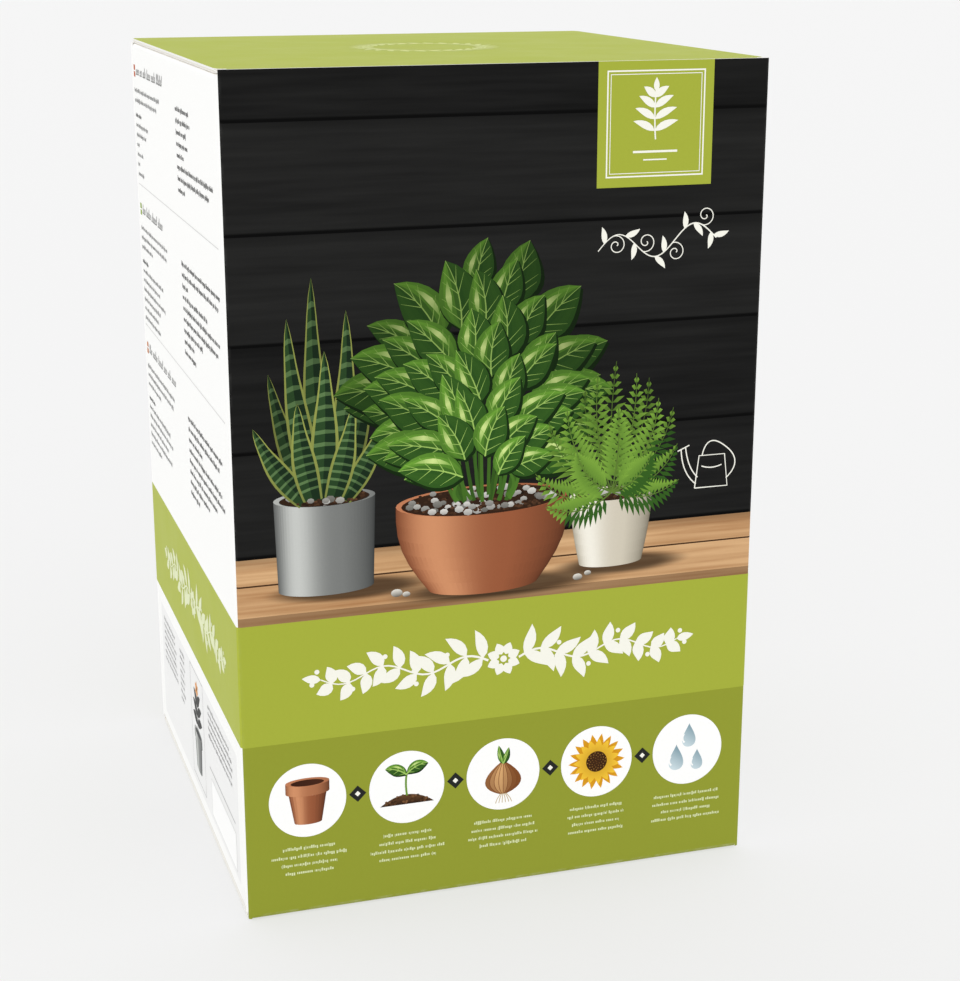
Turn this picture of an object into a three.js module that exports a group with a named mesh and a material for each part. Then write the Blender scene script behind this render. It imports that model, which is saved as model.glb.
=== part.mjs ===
// A printed folding carton of thin fluted board: a square retail box that stands
// upright, with a tuck-in lid at the top and a glued, fully overlapping bottom.
// Units are millimetres and +Z is up. The origin is the middle of the base, the
// printed front faces -Y and the lid is creased along the top of the back panel.

import * as THREE from 'three';

// Outer size of the closed carton, and the board it is folded from.
const WIDTH = 200;
const DEPTH = 200;
const HEIGHT = 310;
const BOARD = 1.5;

// Room that a carton maker leaves between flaps that slide past each other.
const LOOSE_FIT = 0.3;
const SIDE_FIT = 0.5;
const TUCK_FIT = 1.5;

// The lid's tuck flap, which stands behind the front panel.
const TUCK_DEPTH = 16;
const TUCK_END_FIT = 2.5;
const TUCK_RADIUS = 12;

// The top dust flaps, which fold in from the sides under the lid.
const DUST_REACH = 72;
const DUST_FRONT_STEP = 5.5;
const DUST_FRONT_TAPER = 12;
const DUST_REAR_STEP = 6;
const DUST_REAR_MITRE = 34;
const DUST_RADIUS = 6;

// The glued bottom: side dust flaps under a full inner flap and a full outer flap.
const BASE_DUST_REACH = 72;
const BASE_DUST_TAPER = 9;
const BASE_RADIUS = 4;

// The glue flap that joins the back panel to the inside of the left panel.
const GLUE_WIDTH = 18;
const GLUE_TAPER = 6;
const GLUE_END_FIT = 3;

const ROUND_STEPS = 6;

// Heights at which the stacked boards meet.
const lidUnderside = HEIGHT - BOARD;
const dustTop = lidUnderside - LOOSE_FIT;
const dustUnderside = dustTop - BOARD;
const outerFlapTop = BOARD;
const innerFlapTop = 2 * BOARD;
const baseDustTop = 3 * BOARD;

// Places on the plan.
const halfWidth = WIDTH / 2;
const halfDepth = DEPTH / 2;
const innerX = halfWidth - BOARD;
const innerY = halfDepth - BOARD;
const tuckFace = -innerY + TUCK_FIT;

// Each piece has the colour of its outer, printed face. The glue flap is bare board.
const printedFront = new THREE.MeshStandardMaterial({ color: 0xa7b241, roughness: 0.42, metalness: 0 });
const printedSide = new THREE.MeshStandardMaterial({ color: 0xf7f7f4, roughness: 0.42, metalness: 0 });
const printedLid = new THREE.MeshStandardMaterial({ color: 0xa7b241, roughness: 0.42, metalness: 0 });
const printedBase = new THREE.MeshStandardMaterial({ color: 0x919934, roughness: 0.42, metalness: 0 });
const plainBoard = new THREE.MeshStandardMaterial({ color: 0xcdbda4, roughness: 0.9, metalness: 0 });

// An outline with its corners rounded. Each corner is [x, y, radius], anticlockwise.
function roundedOutline(corners) {
  const outline = new THREE.Shape();
  corners.forEach(([x, y, radius], index) => {
    const before = corners[(index + corners.length - 1) % corners.length];
    const after = corners[(index + 1) % corners.length];
    const corner = new THREE.Vector2(x, y);
    const towardsBefore = new THREE.Vector2(before[0] - x, before[1] - y).normalize();
    const towardsAfter = new THREE.Vector2(after[0] - x, after[1] - y).normalize();
    const start = corner.clone().addScaledVector(towardsBefore, radius);
    const end = corner.clone().addScaledVector(towardsAfter, radius);
    if (index === 0) {
      outline.moveTo(start.x, start.y);
    } else {
      outline.lineTo(start.x, start.y);
    }
    if (radius > 0) {
      outline.quadraticCurveTo(corner.x, corner.y, end.x, end.y);
    }
  });
  outline.closePath();
  return outline;
}

function rectangle(left, right, bottom, top) {
  return roundedOutline([
    [left, bottom, 0],
    [right, bottom, 0],
    [right, top, 0],
    [left, top, 0],
  ]);
}

// One flat piece of board: the outline, a board thick, grown along its own +Z.
function boardPiece(name, outline, material) {
  const geometry = new THREE.ExtrudeGeometry(outline, {
    depth: BOARD,
    bevelEnabled: false,
    curveSegments: ROUND_STEPS,
  });
  const mesh = new THREE.Mesh(geometry, material.clone());
  mesh.name = name;
  return mesh;
}

// A level piece keeps the plan's X and Y, and its underside is at the height z.
function layLevel(mesh, z) {
  mesh.position.set(0, 0, z);
  return mesh;
}

// A piece seen from the front: the outline's X and Y become X and Z, and its
// front face is at y.
function standFacingFront(mesh, y) {
  mesh.rotation.set(Math.PI / 2, 0, 0);
  mesh.position.set(0, y + BOARD, 0);
  return mesh;
}

// A piece seen from the right: the outline's X and Y become Y and Z, and its
// left face is at x. The quaternion is a third of a turn about the diagonal
// (1, 1, 1), which takes X to Y, Y to Z and Z to X.
function standFacingSide(mesh, x) {
  mesh.quaternion.set(0.5, 0.5, 0.5, 0.5);
  mesh.position.set(x, 0, 0);
  return mesh;
}

// The front panel runs from the outer bottom flap up to the lid's upper face.
function makeFrontPanel() {
  const outline = rectangle(-halfWidth, halfWidth, outerFlapTop, HEIGHT);
  return standFacingFront(boardPiece('front_panel', outline, printedFront), -halfDepth);
}

// The back panel stops inside the left panel, where it turns into the glue flap.
function makeBackPanel() {
  const outline = rectangle(-innerX, halfWidth, innerFlapTop, lidUnderside);
  return standFacingFront(boardPiece('back_panel', outline, printedFront), innerY);
}

// A side panel is notched at both ends where its dust flaps are creased on, so
// that its corners reach a board further than its crease lines.
function sidePanelOutline(rear) {
  const topFront = -halfDepth + DUST_FRONT_STEP - SIDE_FIT;
  const topRear = halfDepth - DUST_REAR_STEP + SIDE_FIT;
  const baseEnd = innerY - SIDE_FIT;
  return roundedOutline([
    [-innerY, innerFlapTop, 0],
    [-baseEnd, innerFlapTop, 0],
    [-baseEnd, baseDustTop, 0],
    [baseEnd, baseDustTop, 0],
    [baseEnd, innerFlapTop, 0],
    [rear, innerFlapTop, 0],
    [rear, dustTop, 0],
    [topRear, dustTop, 0],
    [topRear, dustUnderside, 0],
    [topFront, dustUnderside, 0],
    [topFront, dustTop, 0],
    [-innerY, dustTop, 0],
  ]);
}

function makeSidePanels() {
  const left = boardPiece('left_panel', sidePanelOutline(halfDepth), printedSide);
  const right = boardPiece('right_panel', sidePanelOutline(innerY), printedSide);
  return [standFacingSide(left, -halfWidth), standFacingSide(right, innerX)];
}

// The glue flap is the strip past the back panel's left crease, with tapered ends.
function makeGlueFlap() {
  const low = baseDustTop + GLUE_END_FIT;
  const high = dustUnderside - GLUE_END_FIT;
  const outline = roundedOutline([
    [innerY - GLUE_WIDTH, low + GLUE_TAPER, 0],
    [innerY, low, 0],
    [innerY, high, 0],
    [innerY - GLUE_WIDTH, high - GLUE_TAPER, 0],
  ]);
  return standFacingSide(boardPiece('glue_flap', outline, plainBoard), -innerX);
}

// The bottom, from outside to inside: the outer flap is creased on the front
// panel, the inner flap on the back panel and the dust flaps on the sides.
function makeBottom() {
  const flapHalf = halfWidth - SIDE_FIT;
  const outer = rectangle(-flapHalf, flapHalf, -halfDepth, halfDepth - SIDE_FIT);
  const inner = rectangle(-flapHalf, flapHalf, -innerY + SIDE_FIT, halfDepth);
  const dustHalf = innerY - 2 * SIDE_FIT;
  const dustEnd = halfWidth - BASE_DUST_REACH;
  const leftDust = roundedOutline([
    [-halfWidth, -dustHalf, 0],
    [-dustEnd, -dustHalf + BASE_DUST_TAPER, BASE_RADIUS],
    [-dustEnd, dustHalf - BASE_DUST_TAPER, BASE_RADIUS],
    [-halfWidth, dustHalf, 0],
  ]);
  const rightDust = roundedOutline([
    [halfWidth, dustHalf, 0],
    [dustEnd, dustHalf - BASE_DUST_TAPER, BASE_RADIUS],
    [dustEnd, -dustHalf + BASE_DUST_TAPER, BASE_RADIUS],
    [halfWidth, -dustHalf, 0],
  ]);
  return [
    layLevel(boardPiece('bottom_outer_flap', outer, printedBase), 0),
    layLevel(boardPiece('bottom_inner_flap', inner, printedBase), outerFlapTop),
    layLevel(boardPiece('bottom_dust_left', leftDust, printedSide), innerFlapTop),
    layLevel(boardPiece('bottom_dust_right', rightDust, printedSide), innerFlapTop),
  ];
}

// A top dust flap, for the side where side is -1 (left) or 1 (right). Its rear
// edge is mitred so that it stays under the lid while both swing open.
function makeTopDustFlap(name, side) {
  const reach = side * (halfWidth - DUST_REACH);
  const root = side * halfWidth;
  const mitreEnd = side * (halfWidth - DUST_REAR_MITRE);
  const front = -halfDepth + DUST_FRONT_STEP;
  const rear = halfDepth - DUST_REAR_STEP;
  const corners = [
    [root, front, 0],
    [reach, front + DUST_FRONT_TAPER, DUST_RADIUS],
    [reach, rear - DUST_REAR_MITRE, DUST_RADIUS],
    [mitreEnd, rear - DUST_REAR_MITRE, DUST_RADIUS],
    [root, rear, 0],
  ];
  const outline = roundedOutline(side < 0 ? corners : corners.reverse());
  return layLevel(boardPiece(name, outline, printedSide), dustUnderside);
}

// The lid lies on the back panel and stops just short of the front panel.
function makeLid() {
  const lidHalf = halfWidth - SIDE_FIT;
  const outline = rectangle(-lidHalf, lidHalf, tuckFace, halfDepth);
  return layLevel(boardPiece('lid', outline, printedLid), lidUnderside);
}

// The tuck flap hangs from the lid's front crease, inside the front panel.
function makeTuckFlap() {
  const tuckHalf = innerX - TUCK_END_FIT;
  const outline = roundedOutline([
    [-tuckHalf, lidUnderside - TUCK_DEPTH, TUCK_RADIUS],
    [tuckHalf, lidUnderside - TUCK_DEPTH, TUCK_RADIUS],
    [tuckHalf, lidUnderside, 0],
    [-tuckHalf, lidUnderside, 0],
  ]);
  return standFacingFront(boardPiece('tuck_flap', outline, printedLid), tuckFace);
}

const carton = new THREE.Group();
carton.add(makeFrontPanel(), makeBackPanel(), ...makeSidePanels(), makeGlueFlap());
carton.add(...makeBottom());
carton.add(makeTopDustFlap('top_dust_left', -1), makeTopDustFlap('top_dust_right', 1));
carton.add(makeLid(), makeTuckFlap());

export default carton;
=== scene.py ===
# A printed retail carton of thin fluted board, closed, as it stands on a shop shelf.
# Everything is in metres: +Z is up, the printed front faces -Y and the origin is under the middle.

import math
import random

import bmesh
import bpy
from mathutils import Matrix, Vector
from mathutils.geometry import delaunay_2d_cdt


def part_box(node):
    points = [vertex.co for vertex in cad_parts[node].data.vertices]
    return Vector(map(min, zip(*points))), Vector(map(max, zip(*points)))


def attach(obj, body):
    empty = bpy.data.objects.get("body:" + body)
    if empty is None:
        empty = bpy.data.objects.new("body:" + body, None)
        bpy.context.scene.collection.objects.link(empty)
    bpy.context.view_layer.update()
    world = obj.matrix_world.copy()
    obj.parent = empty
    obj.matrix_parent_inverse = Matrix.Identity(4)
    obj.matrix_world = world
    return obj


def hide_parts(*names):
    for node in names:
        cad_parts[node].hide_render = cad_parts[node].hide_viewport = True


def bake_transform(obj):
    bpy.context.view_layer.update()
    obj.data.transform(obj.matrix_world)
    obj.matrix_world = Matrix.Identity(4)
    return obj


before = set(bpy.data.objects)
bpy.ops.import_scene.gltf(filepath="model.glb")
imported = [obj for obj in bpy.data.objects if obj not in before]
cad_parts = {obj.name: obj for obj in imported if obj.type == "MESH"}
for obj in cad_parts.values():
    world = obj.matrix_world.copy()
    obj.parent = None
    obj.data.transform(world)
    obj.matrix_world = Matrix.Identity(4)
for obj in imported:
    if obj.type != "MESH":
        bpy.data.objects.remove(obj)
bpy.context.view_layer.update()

# ------------------------------------------------------------------------------ the studio
# The carton stands on a pale floor that runs on past the picture and glows faintly, as a lit
# table does. An even pale sky lights it, and a broad weak sun gives its faces a little direction.
CAMERA_AT = (-0.2152, -0.7426, 0.3546)
CAMERA_YAW = math.radians(17.77)
CAMERA_PITCH = math.radians(16.20)
CAMERA_LENS = 71.08
FLOOR_REACH = 40.0
FLOOR_SINK = 0.0002
FLOOR_SHADE = (0.28, 0.28, 0.28, 1)
FLOOR_IOR = 1.05
FLOOR_GLOW = 0.585
PLAIN_WHITE = (1, 1, 1, 1)
SKY_STRENGTH = 1.15
SKY_SHOWN = 0.92
SUN_STRENGTH = 0.10
SUN_SPREAD = math.radians(60)
SUN_TURN = (math.radians(42), 0, math.radians(-38))


def placed(name, data):
    """A new object in the scene, made of that data."""
    made = bpy.data.objects.new(name, data)
    bpy.context.scene.collection.objects.link(made)
    return made


def finished(name):
    """A new material, with its node tree and its surface shader."""
    material = bpy.data.materials.new(name)
    material.use_nodes = True
    return material, material.node_tree, material.node_tree.nodes["Principled BSDF"]


def node(tree, kind, inputs, **settings):
    """Adds a shader node. An input is given a value, or is linked where it is given a socket."""
    made = tree.nodes.new("ShaderNode" + kind)
    for setting, value in settings.items():
        setattr(made, setting, value)
    for name, value in inputs.items():
        if isinstance(value, bpy.types.NodeSocket):
            tree.links.new(value, made.inputs[name])
        else:
            made.inputs[name].default_value = value
    return made


camera_data = bpy.data.cameras.new("camera")
camera_data.lens = CAMERA_LENS
camera = placed("camera", camera_data)
camera.location = CAMERA_AT
camera.rotation_euler = (math.pi / 2 - CAMERA_PITCH, 0, -CAMERA_YAW)
bpy.context.scene.camera = camera
bpy.context.scene.view_settings.view_transform = "Standard"

sky = bpy.data.worlds.new("sky")
sky.use_nodes = True
sky_light = sky.node_tree.nodes["Background"]
sky_light.inputs["Color"].default_value = PLAIN_WHITE
sky_light.inputs["Strength"].default_value = SKY_STRENGTH
sky_shown = node(sky.node_tree, "Background", {"Color": PLAIN_WHITE, "Strength": SKY_SHOWN})
sky_seen = node(sky.node_tree, "LightPath", {}).outputs["Is Camera Ray"]
sky_parts = {0: sky_seen, 1: sky_light.outputs[0], 2: sky_shown.outputs[0]}
sky_choice = node(sky.node_tree, "MixShader", sky_parts)
sky.node_tree.links.new(sky_choice.outputs[0], sky.node_tree.nodes["World Output"].inputs["Surface"])
bpy.context.scene.world = sky

sun_data = bpy.data.lights.new("soft_sun", "SUN")
sun_data.energy = SUN_STRENGTH
sun_data.angle = SUN_SPREAD
placed("soft_sun", sun_data).rotation_euler = SUN_TURN

floor_mesh = bpy.data.meshes.new("floor")
floor_corners = [(-1, -1), (1, -1), (1, 1), (-1, 1)]
floor_points = [(x * FLOOR_REACH, y * FLOOR_REACH, -FLOOR_SINK) for x, y in floor_corners]
floor_mesh.from_pydata(floor_points, [], [(0, 1, 2, 3)])
floor_finish, _, floor_shader = finished("floor")
floor_shader.inputs["Base Color"].default_value = FLOOR_SHADE
floor_shader.inputs["Roughness"].default_value = 1.0
floor_shader.inputs["IOR"].default_value = FLOOR_IOR
floor_shader.inputs["Emission Color"].default_value = PLAIN_WHITE
floor_shader.inputs["Emission Strength"].default_value = FLOOR_GLOW
floor_mesh.materials.append(floor_finish)
floor = placed("floor", floor_mesh)

# --------------------------------------------------------------------------- the front panel
# One blank of fine fluted board, 1.5 mm thick, makes the whole carton: a coated white outer liner,
# printed and varnished, a wavy middle and a plain inner liner. The front panel runs from the middle
# of one creased corner to the middle of the next, and its foot turns into a bottom flap.
front_low, front_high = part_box("front_panel")
BOARD = front_high.y - front_low.y
HALF_WIDTH = front_high.x
HALF_DEPTH = -front_low.y
HEIGHT = front_high.z
CORNER = 0.0018
CORNER_FOOT = 0.0004
CORNER_X = HALF_WIDTH - CORNER
CORNER_Y = HALF_DEPTH - CORNER
FLUTE_PITCH = 0.0032
VARNISH_IOR = 1.12
PRINT_WEAR = 0.05
OUTER, INSIDE, CUT = range(3)

# Heights of the bands of print, from the ground, and the place of the green tab.
OLIVE_TOP = 0.0691
GREEN_TOP = 0.1156
TABLE_LIP = 0.1188
TABLE_JOINT = (0.1302, 0.1308)
TABLE_SHADE = 0.1362
TABLE_TOP = 0.1405
PLANK_HEIGHT = 0.038
PLANK_SHADE = 0.0340
TAB_LEFT = 0.0341
TAB_RIGHT = 0.0781
TAB_BOTTOM = 0.2660

# Soft shadows of the pots on the printed table: middle across, middle up, reach across, reach up.
POT_SHADOWS = [
    (-0.058, 0.1260, 0.034, 0.0050),
    (-0.002, 0.1212, 0.047, 0.0052),
    (0.046, 0.1252, 0.030, 0.0046),
]


def ink(red, green, blue):
    """A printed colour, from 0 to 255, as the linear colour that a shader takes."""
    shares = [part / 255 for part in (red, green, blue)]
    linear = [part / 12.92 if part <= 0.04045 else ((part + 0.055) / 1.055) ** 2.4 for part in shares]
    return (*linear, 1.0)


PAPER = ink(250, 250, 248)
GREEN = ink(164, 174, 62)
OLIVE = ink(145, 153, 52)

# The printed planks: how grain and streaks stretch along and across, and the groove's soft edge.
PLANK_GRAIN = (22.0, 420.0)
PLANK_STREAKS = (6.0, 90.0)
PLANK_TONES = (ink(15, 15, 15), ink(43, 43, 42))
PLANK_UNDER = ink(9, 9, 9)
GROOVE_EDGE = (0.0009, 0.0016)
GROOVE_TONE = ink(5, 5, 5)

# The printed table: its grain and clouds, its wood, and what darkens it.
TABLE_GRAIN = (16.0, 520.0)
TABLE_CLOUDS = (12.0, 60.0)
TABLE_TONES = (ink(172, 126, 84), ink(219, 178, 132))
JOINT_TONE = ink(70, 46, 28)
LIP_TONE = ink(84, 55, 34)
LIP_SHARE = 0.55
TABLE_UNDER = ink(50, 34, 24)
POT_SHADE = ink(38, 25, 17)
POT_SHADE_SHARE = 0.85

# The printed face's ripples: noise scales, with the height that each gives in bump distances.
PRINT_BUMP = {"Distance": 0.00004, "Strength": 0.6}
FLUTE_RIPPLE = 0.22
SLACK_SCALE, SLACK_RIPPLE = 14.0, 6.0
FIBRE_SCALE, FIBRE_RIPPLE = 1600.0, 0.5

# Its roughness and its tone: a noise scale, the spread and the lowest value.
SHEEN_SCALE, SHEEN_SPREAD, SHEEN_LOW = 45.0, 0.14, 0.33
TONE_SCALE, TONE_SPREAD, TONE_LOW = 900.0, 0.05, 0.975

# Worn print: its reach from a crease, and the noise that breaks it into patches.
WEAR_REACH = 0.0016
WEAR_SCALE = 260.0
WEAR_PATCHES = (0.42, 0.72)

# The cut edge, in shares of the board's thickness: the wavy paper's swing and its soft edge, and
# where the liners begin, from the middle.
WAVE_SWING = 0.30
WAVE_EDGE = (0.08, 0.16)
LINER_EDGE = (0.32, 0.38)
CUT_SCALE = 2200.0
# The gaps between the papers of a cut edge are painted darker: painted shade in the flutes' hollows.
CUT_GAP_SHADE = ink(228, 224, 214)
CUT_TONES = (ink(246, 245, 241), ink(252, 252, 250))
CUT_ROUGHNESS = 0.95
CUT_BUMP = {"Distance": 0.0002, "Strength": 0.5}

# The inner liner: mottled tones, with darker specks of fibre.
LINER_SCALE = 90.0
LINER_TONES = (ink(196, 178, 152), ink(214, 199, 176))
LINER_ROUGHNESS = 0.9
SPECK_SCALE = 1100.0
SPECK_EDGE = (0.60, 0.72)
SPECK_SHARE = 0.35
SPECK_TONE = ink(150, 128, 100)
LINER_BUMP = {"Distance": 0.00006, "Strength": 0.8}


def maths(tree, operation, *values):
    return node(tree, "Math", dict(enumerate(values)), operation=operation).outputs[0]


def mixed(tree, share, first, second):
    """The colour first where share is 0 and second where it is 1."""
    return node(tree, "Mix", {0: share, 6: first, 7: second}, data_type="RGBA").outputs[2]


def eased(tree, value, start, end, low, high, way="LINEAR"):
    """Goes from low to high as value goes from start to end."""
    inputs = {0: value, 1: start, 2: end, 3: low, 4: high}
    return node(tree, "MapRange", inputs, interpolation_type=way).outputs[0]


def between(tree, value, low, high):
    above = maths(tree, "GREATER_THAN", value, low)
    below = maths(tree, "LESS_THAN", value, high)
    return maths(tree, "MULTIPLY", above, below)


def noise(tree, vector, scale, detail=3.0):
    return node(tree, "TexNoise", {"Vector": vector, "Scale": scale, "Detail": detail}).outputs["Fac"]


def own_place(tree):
    return tree.nodes.new("ShaderNodeTexCoord").outputs["Object"]


def new_group(name, inputs, outputs):
    group = bpy.data.node_groups.new(name, "ShaderNodeTree")
    for socket in inputs:
        group.interface.new_socket(socket, in_out="INPUT", socket_type="NodeSocketFloat")
    for socket in outputs:
        group.interface.new_socket(socket, in_out="OUTPUT", socket_type="NodeSocketFloat")
    return group, group.nodes.new("NodeGroupInput"), group.nodes.new("NodeGroupOutput")


def coated_group():
    """Varnished print: the flutes show through as faint ripples, over fine paper fibre."""
    group, given, result = new_group("coated_print", ["Across"], ["Height", "Roughness", "Tone"])
    place = own_place(group)
    phase = maths(group, "MULTIPLY", given.outputs["Across"], 2 * math.pi / FLUTE_PITCH)
    flutes = maths(group, "MULTIPLY", maths(group, "SINE", phase), FLUTE_RIPPLE)
    slack = maths(group, "MULTIPLY", noise(group, place, SLACK_SCALE, 1.0), SLACK_RIPPLE)
    fibre = maths(group, "MULTIPLY", noise(group, place, FIBRE_SCALE), FIBRE_RIPPLE)
    height = maths(group, "ADD", maths(group, "ADD", flutes, slack), fibre)
    group.links.new(height, result.inputs["Height"])
    sheen = maths(group, "MULTIPLY_ADD", noise(group, place, SHEEN_SCALE), SHEEN_SPREAD, SHEEN_LOW)
    group.links.new(sheen, result.inputs["Roughness"])
    tone = maths(group, "MULTIPLY_ADD", noise(group, place, TONE_SCALE), TONE_SPREAD, TONE_LOW)
    group.links.new(tone, result.inputs["Tone"])
    return group


def crease_group():
    """How far the print has worn pale, by the distance from a crease."""
    group, given, result = new_group("crease_wear", ["Distance"], ["Wear"])
    near = eased(group, given.outputs["Distance"], WEAR_REACH, 0.0, 0.0, 1.0)
    patches = eased(group, noise(group, own_place(group), WEAR_SCALE, 4.0), *WEAR_PATCHES, 0.0, 1.0)
    group.links.new(maths(group, "MULTIPLY", near, patches), result.inputs["Wear"])
    return group


def flute_group():
    """On a cut edge: 1 on the liners and the wavy paper between them, 0 in the gaps."""
    group, given, result = new_group("cut_edge", ["Depth", "Run"], ["Paper"])
    phase = maths(group, "MULTIPLY", given.outputs["Run"], 2 * math.pi / FLUTE_PITCH)
    wave = maths(group, "MULTIPLY_ADD", maths(group, "SINE", phase), WAVE_SWING, 0.5)
    from_wave = maths(group, "ABSOLUTE", maths(group, "SUBTRACT", given.outputs["Depth"], wave))
    on_wave = eased(group, from_wave, *WAVE_EDGE, 1.0, 0.0)
    from_middle = maths(group, "ABSOLUTE", maths(group, "SUBTRACT", given.outputs["Depth"], 0.5))
    on_liner = eased(group, from_middle, *LINER_EDGE, 0.0, 1.0)
    group.links.new(maths(group, "MAXIMUM", on_wave, on_liner), result.inputs["Paper"])
    return group


COATED = coated_group()
CREASE = crease_group()
CUT_EDGE = flute_group()


def coated_material(name, paint, across, varnish=VARNISH_IOR):
    """A printed face. paint(tree, x, y, z) gives its colour, and the flutes cross the axis across."""
    material, tree, shader = finished(name)
    parts = node(tree, "SeparateXYZ", {"Vector": own_place(tree)}).outputs
    coat = node(tree, "Group", {}, node_tree=COATED)
    tree.links.new(parts[across], coat.inputs["Across"])
    colour = paint(tree, parts["X"], parts["Y"], parts["Z"])
    toned = node(tree, "VectorMath", {0: colour, "Scale": coat.outputs["Tone"]}, operation="SCALE")
    tree.links.new(toned.outputs[0], shader.inputs["Base Color"])
    tree.links.new(coat.outputs["Roughness"], shader.inputs["Roughness"])
    shader.inputs["IOR"].default_value = varnish
    bump = node(tree, "Bump", {"Height": coat.outputs["Height"], **PRINT_BUMP})
    tree.links.new(bump.outputs["Normal"], shader.inputs["Normal"])
    return material


def worn(tree, colour, place, half, amount):
    """The colour with the creases at both ends of an axis worn towards the bare paper."""
    distance = maths(tree, "SUBTRACT", half, maths(tree, "ABSOLUTE", place))
    wear = node(tree, "Group", {"Distance": distance}, node_tree=CREASE).outputs["Wear"]
    return mixed(tree, maths(tree, "MULTIPLY", wear, amount), colour, PAPER)


def liner_material():
    """The plain inner face: matt, slightly mottled, with short fibres."""
    material, tree, shader = finished("inner_liner")
    place = own_place(tree)
    parts = node(tree, "SeparateXYZ", {"Vector": place}).outputs
    coat = node(tree, "Group", {"Across": parts["X"]}, node_tree=COATED)
    specks = eased(tree, noise(tree, place, SPECK_SCALE, 2.0), *SPECK_EDGE, 0.0, SPECK_SHARE)
    base = mixed(tree, noise(tree, place, LINER_SCALE, 5.0), *LINER_TONES)
    tree.links.new(mixed(tree, specks, base, SPECK_TONE), shader.inputs["Base Color"])
    shader.inputs["Roughness"].default_value = LINER_ROUGHNESS
    bump = node(tree, "Bump", {"Height": coat.outputs["Height"], **LINER_BUMP})
    tree.links.new(bump.outputs["Normal"], shader.inputs["Normal"])
    return material


def edge_material():
    """A cut edge, by the depth through the board and the run along the cut."""
    material, tree, shader = finished("cut_edge")
    depth = node(tree, "Attribute", {}, attribute_name="depth").outputs["Fac"]
    run = node(tree, "Attribute", {}, attribute_name="run").outputs["Fac"]
    paper = node(tree, "Group", {"Depth": depth, "Run": run}, node_tree=CUT_EDGE).outputs["Paper"]
    pale = mixed(tree, noise(tree, own_place(tree), CUT_SCALE), *CUT_TONES)
    # Painted shade in the flutes' gaps, pale paper on the liners and the wavy paper.
    tree.links.new(mixed(tree, paper, CUT_GAP_SHADE, pale), shader.inputs["Base Color"])
    shader.inputs["Roughness"].default_value = CUT_ROUGHNESS
    bump = node(tree, "Bump", {"Height": paper, **CUT_BUMP})
    tree.links.new(bump.outputs["Normal"], shader.inputs["Normal"])
    return material


INNER = liner_material()
EDGE = edge_material()


def grained(tree, x, z, along, across, seed):
    """Coordinates for grain that runs along x."""
    parts = {"X": maths(tree, "MULTIPLY", x, along), "Y": seed, "Z": maths(tree, "MULTIPLY", z, across)}
    return node(tree, "CombineXYZ", parts).outputs[0]


def dark_planks(tree, x, z):
    """Charcoal planks, laid level, with near-black grooves between them."""
    height = maths(tree, "DIVIDE", maths(tree, "SUBTRACT", z, TABLE_TOP), PLANK_HEIGHT)
    plank = maths(tree, "FLOOR", height)
    within = maths(tree, "MULTIPLY", maths(tree, "FRACT", height), PLANK_HEIGHT)
    tone = node(tree, "TexWhiteNoise", {"W": plank}, noise_dimensions="1D").outputs["Value"]
    seed = maths(tree, "MULTIPLY", plank, 7.3)
    grain = noise(tree, grained(tree, x, z, *PLANK_GRAIN, seed), 1.0, 6.0)
    streaks = noise(tree, grained(tree, x, z, *PLANK_STREAKS, plank), 1.0, 2.0)
    shade = maths(tree, "MULTIPLY_ADD", grain, 0.55, maths(tree, "MULTIPLY", streaks, 0.45))
    level = maths(tree, "MULTIPLY_ADD", tone, 0.30, maths(tree, "MULTIPLY_ADD", shade, 1.3, -0.42))
    wood = mixed(tree, level, *PLANK_TONES)
    groove = eased(tree, within, *GROOVE_EDGE, 1.0, 0.0)
    shaded = mixed(tree, eased(tree, within, PLANK_SHADE, PLANK_HEIGHT, 0.0, 0.35), wood, PLANK_UNDER)
    return mixed(tree, groove, shaded, GROOVE_TONE)


def pale_table(tree, x, z):
    """A pale wooden table top seen from just above, with its darker front lip."""
    grain = noise(tree, grained(tree, x, z, *TABLE_GRAIN, 3.1), 1.0, 6.0)
    clouds = noise(tree, grained(tree, x, z, *TABLE_CLOUDS, 8.7), 1.0, 3.0)
    level = maths(tree, "MULTIPLY_ADD", grain, 0.9, maths(tree, "MULTIPLY", clouds, 0.5))
    wood = mixed(tree, eased(tree, level, 0.45, 0.95, 0.0, 1.0), *TABLE_TONES)
    wood = mixed(tree, between(tree, z, *TABLE_JOINT), wood, JOINT_TONE)
    lip = maths(tree, "MULTIPLY", maths(tree, "LESS_THAN", z, TABLE_LIP), LIP_SHARE)
    wood = mixed(tree, lip, wood, LIP_TONE)
    shaded = mixed(tree, eased(tree, z, TABLE_SHADE, TABLE_TOP, 0.0, 0.45), wood, TABLE_UNDER)
    for centre_x, centre_z, reach_x, reach_z in POT_SHADOWS:
        off_x = maths(tree, "DIVIDE", maths(tree, "SUBTRACT", x, centre_x), reach_x)
        off_z = maths(tree, "DIVIDE", maths(tree, "SUBTRACT", z, centre_z), reach_z)
        square = maths(tree, "MULTIPLY_ADD", off_x, off_x, maths(tree, "MULTIPLY", off_z, off_z))
        soft = eased(tree, square, 1.0, 0.25, 0.0, POT_SHADE_SHARE, "SMOOTHSTEP")
        shaded = mixed(tree, soft, shaded, POT_SHADE)
    return shaded


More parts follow.
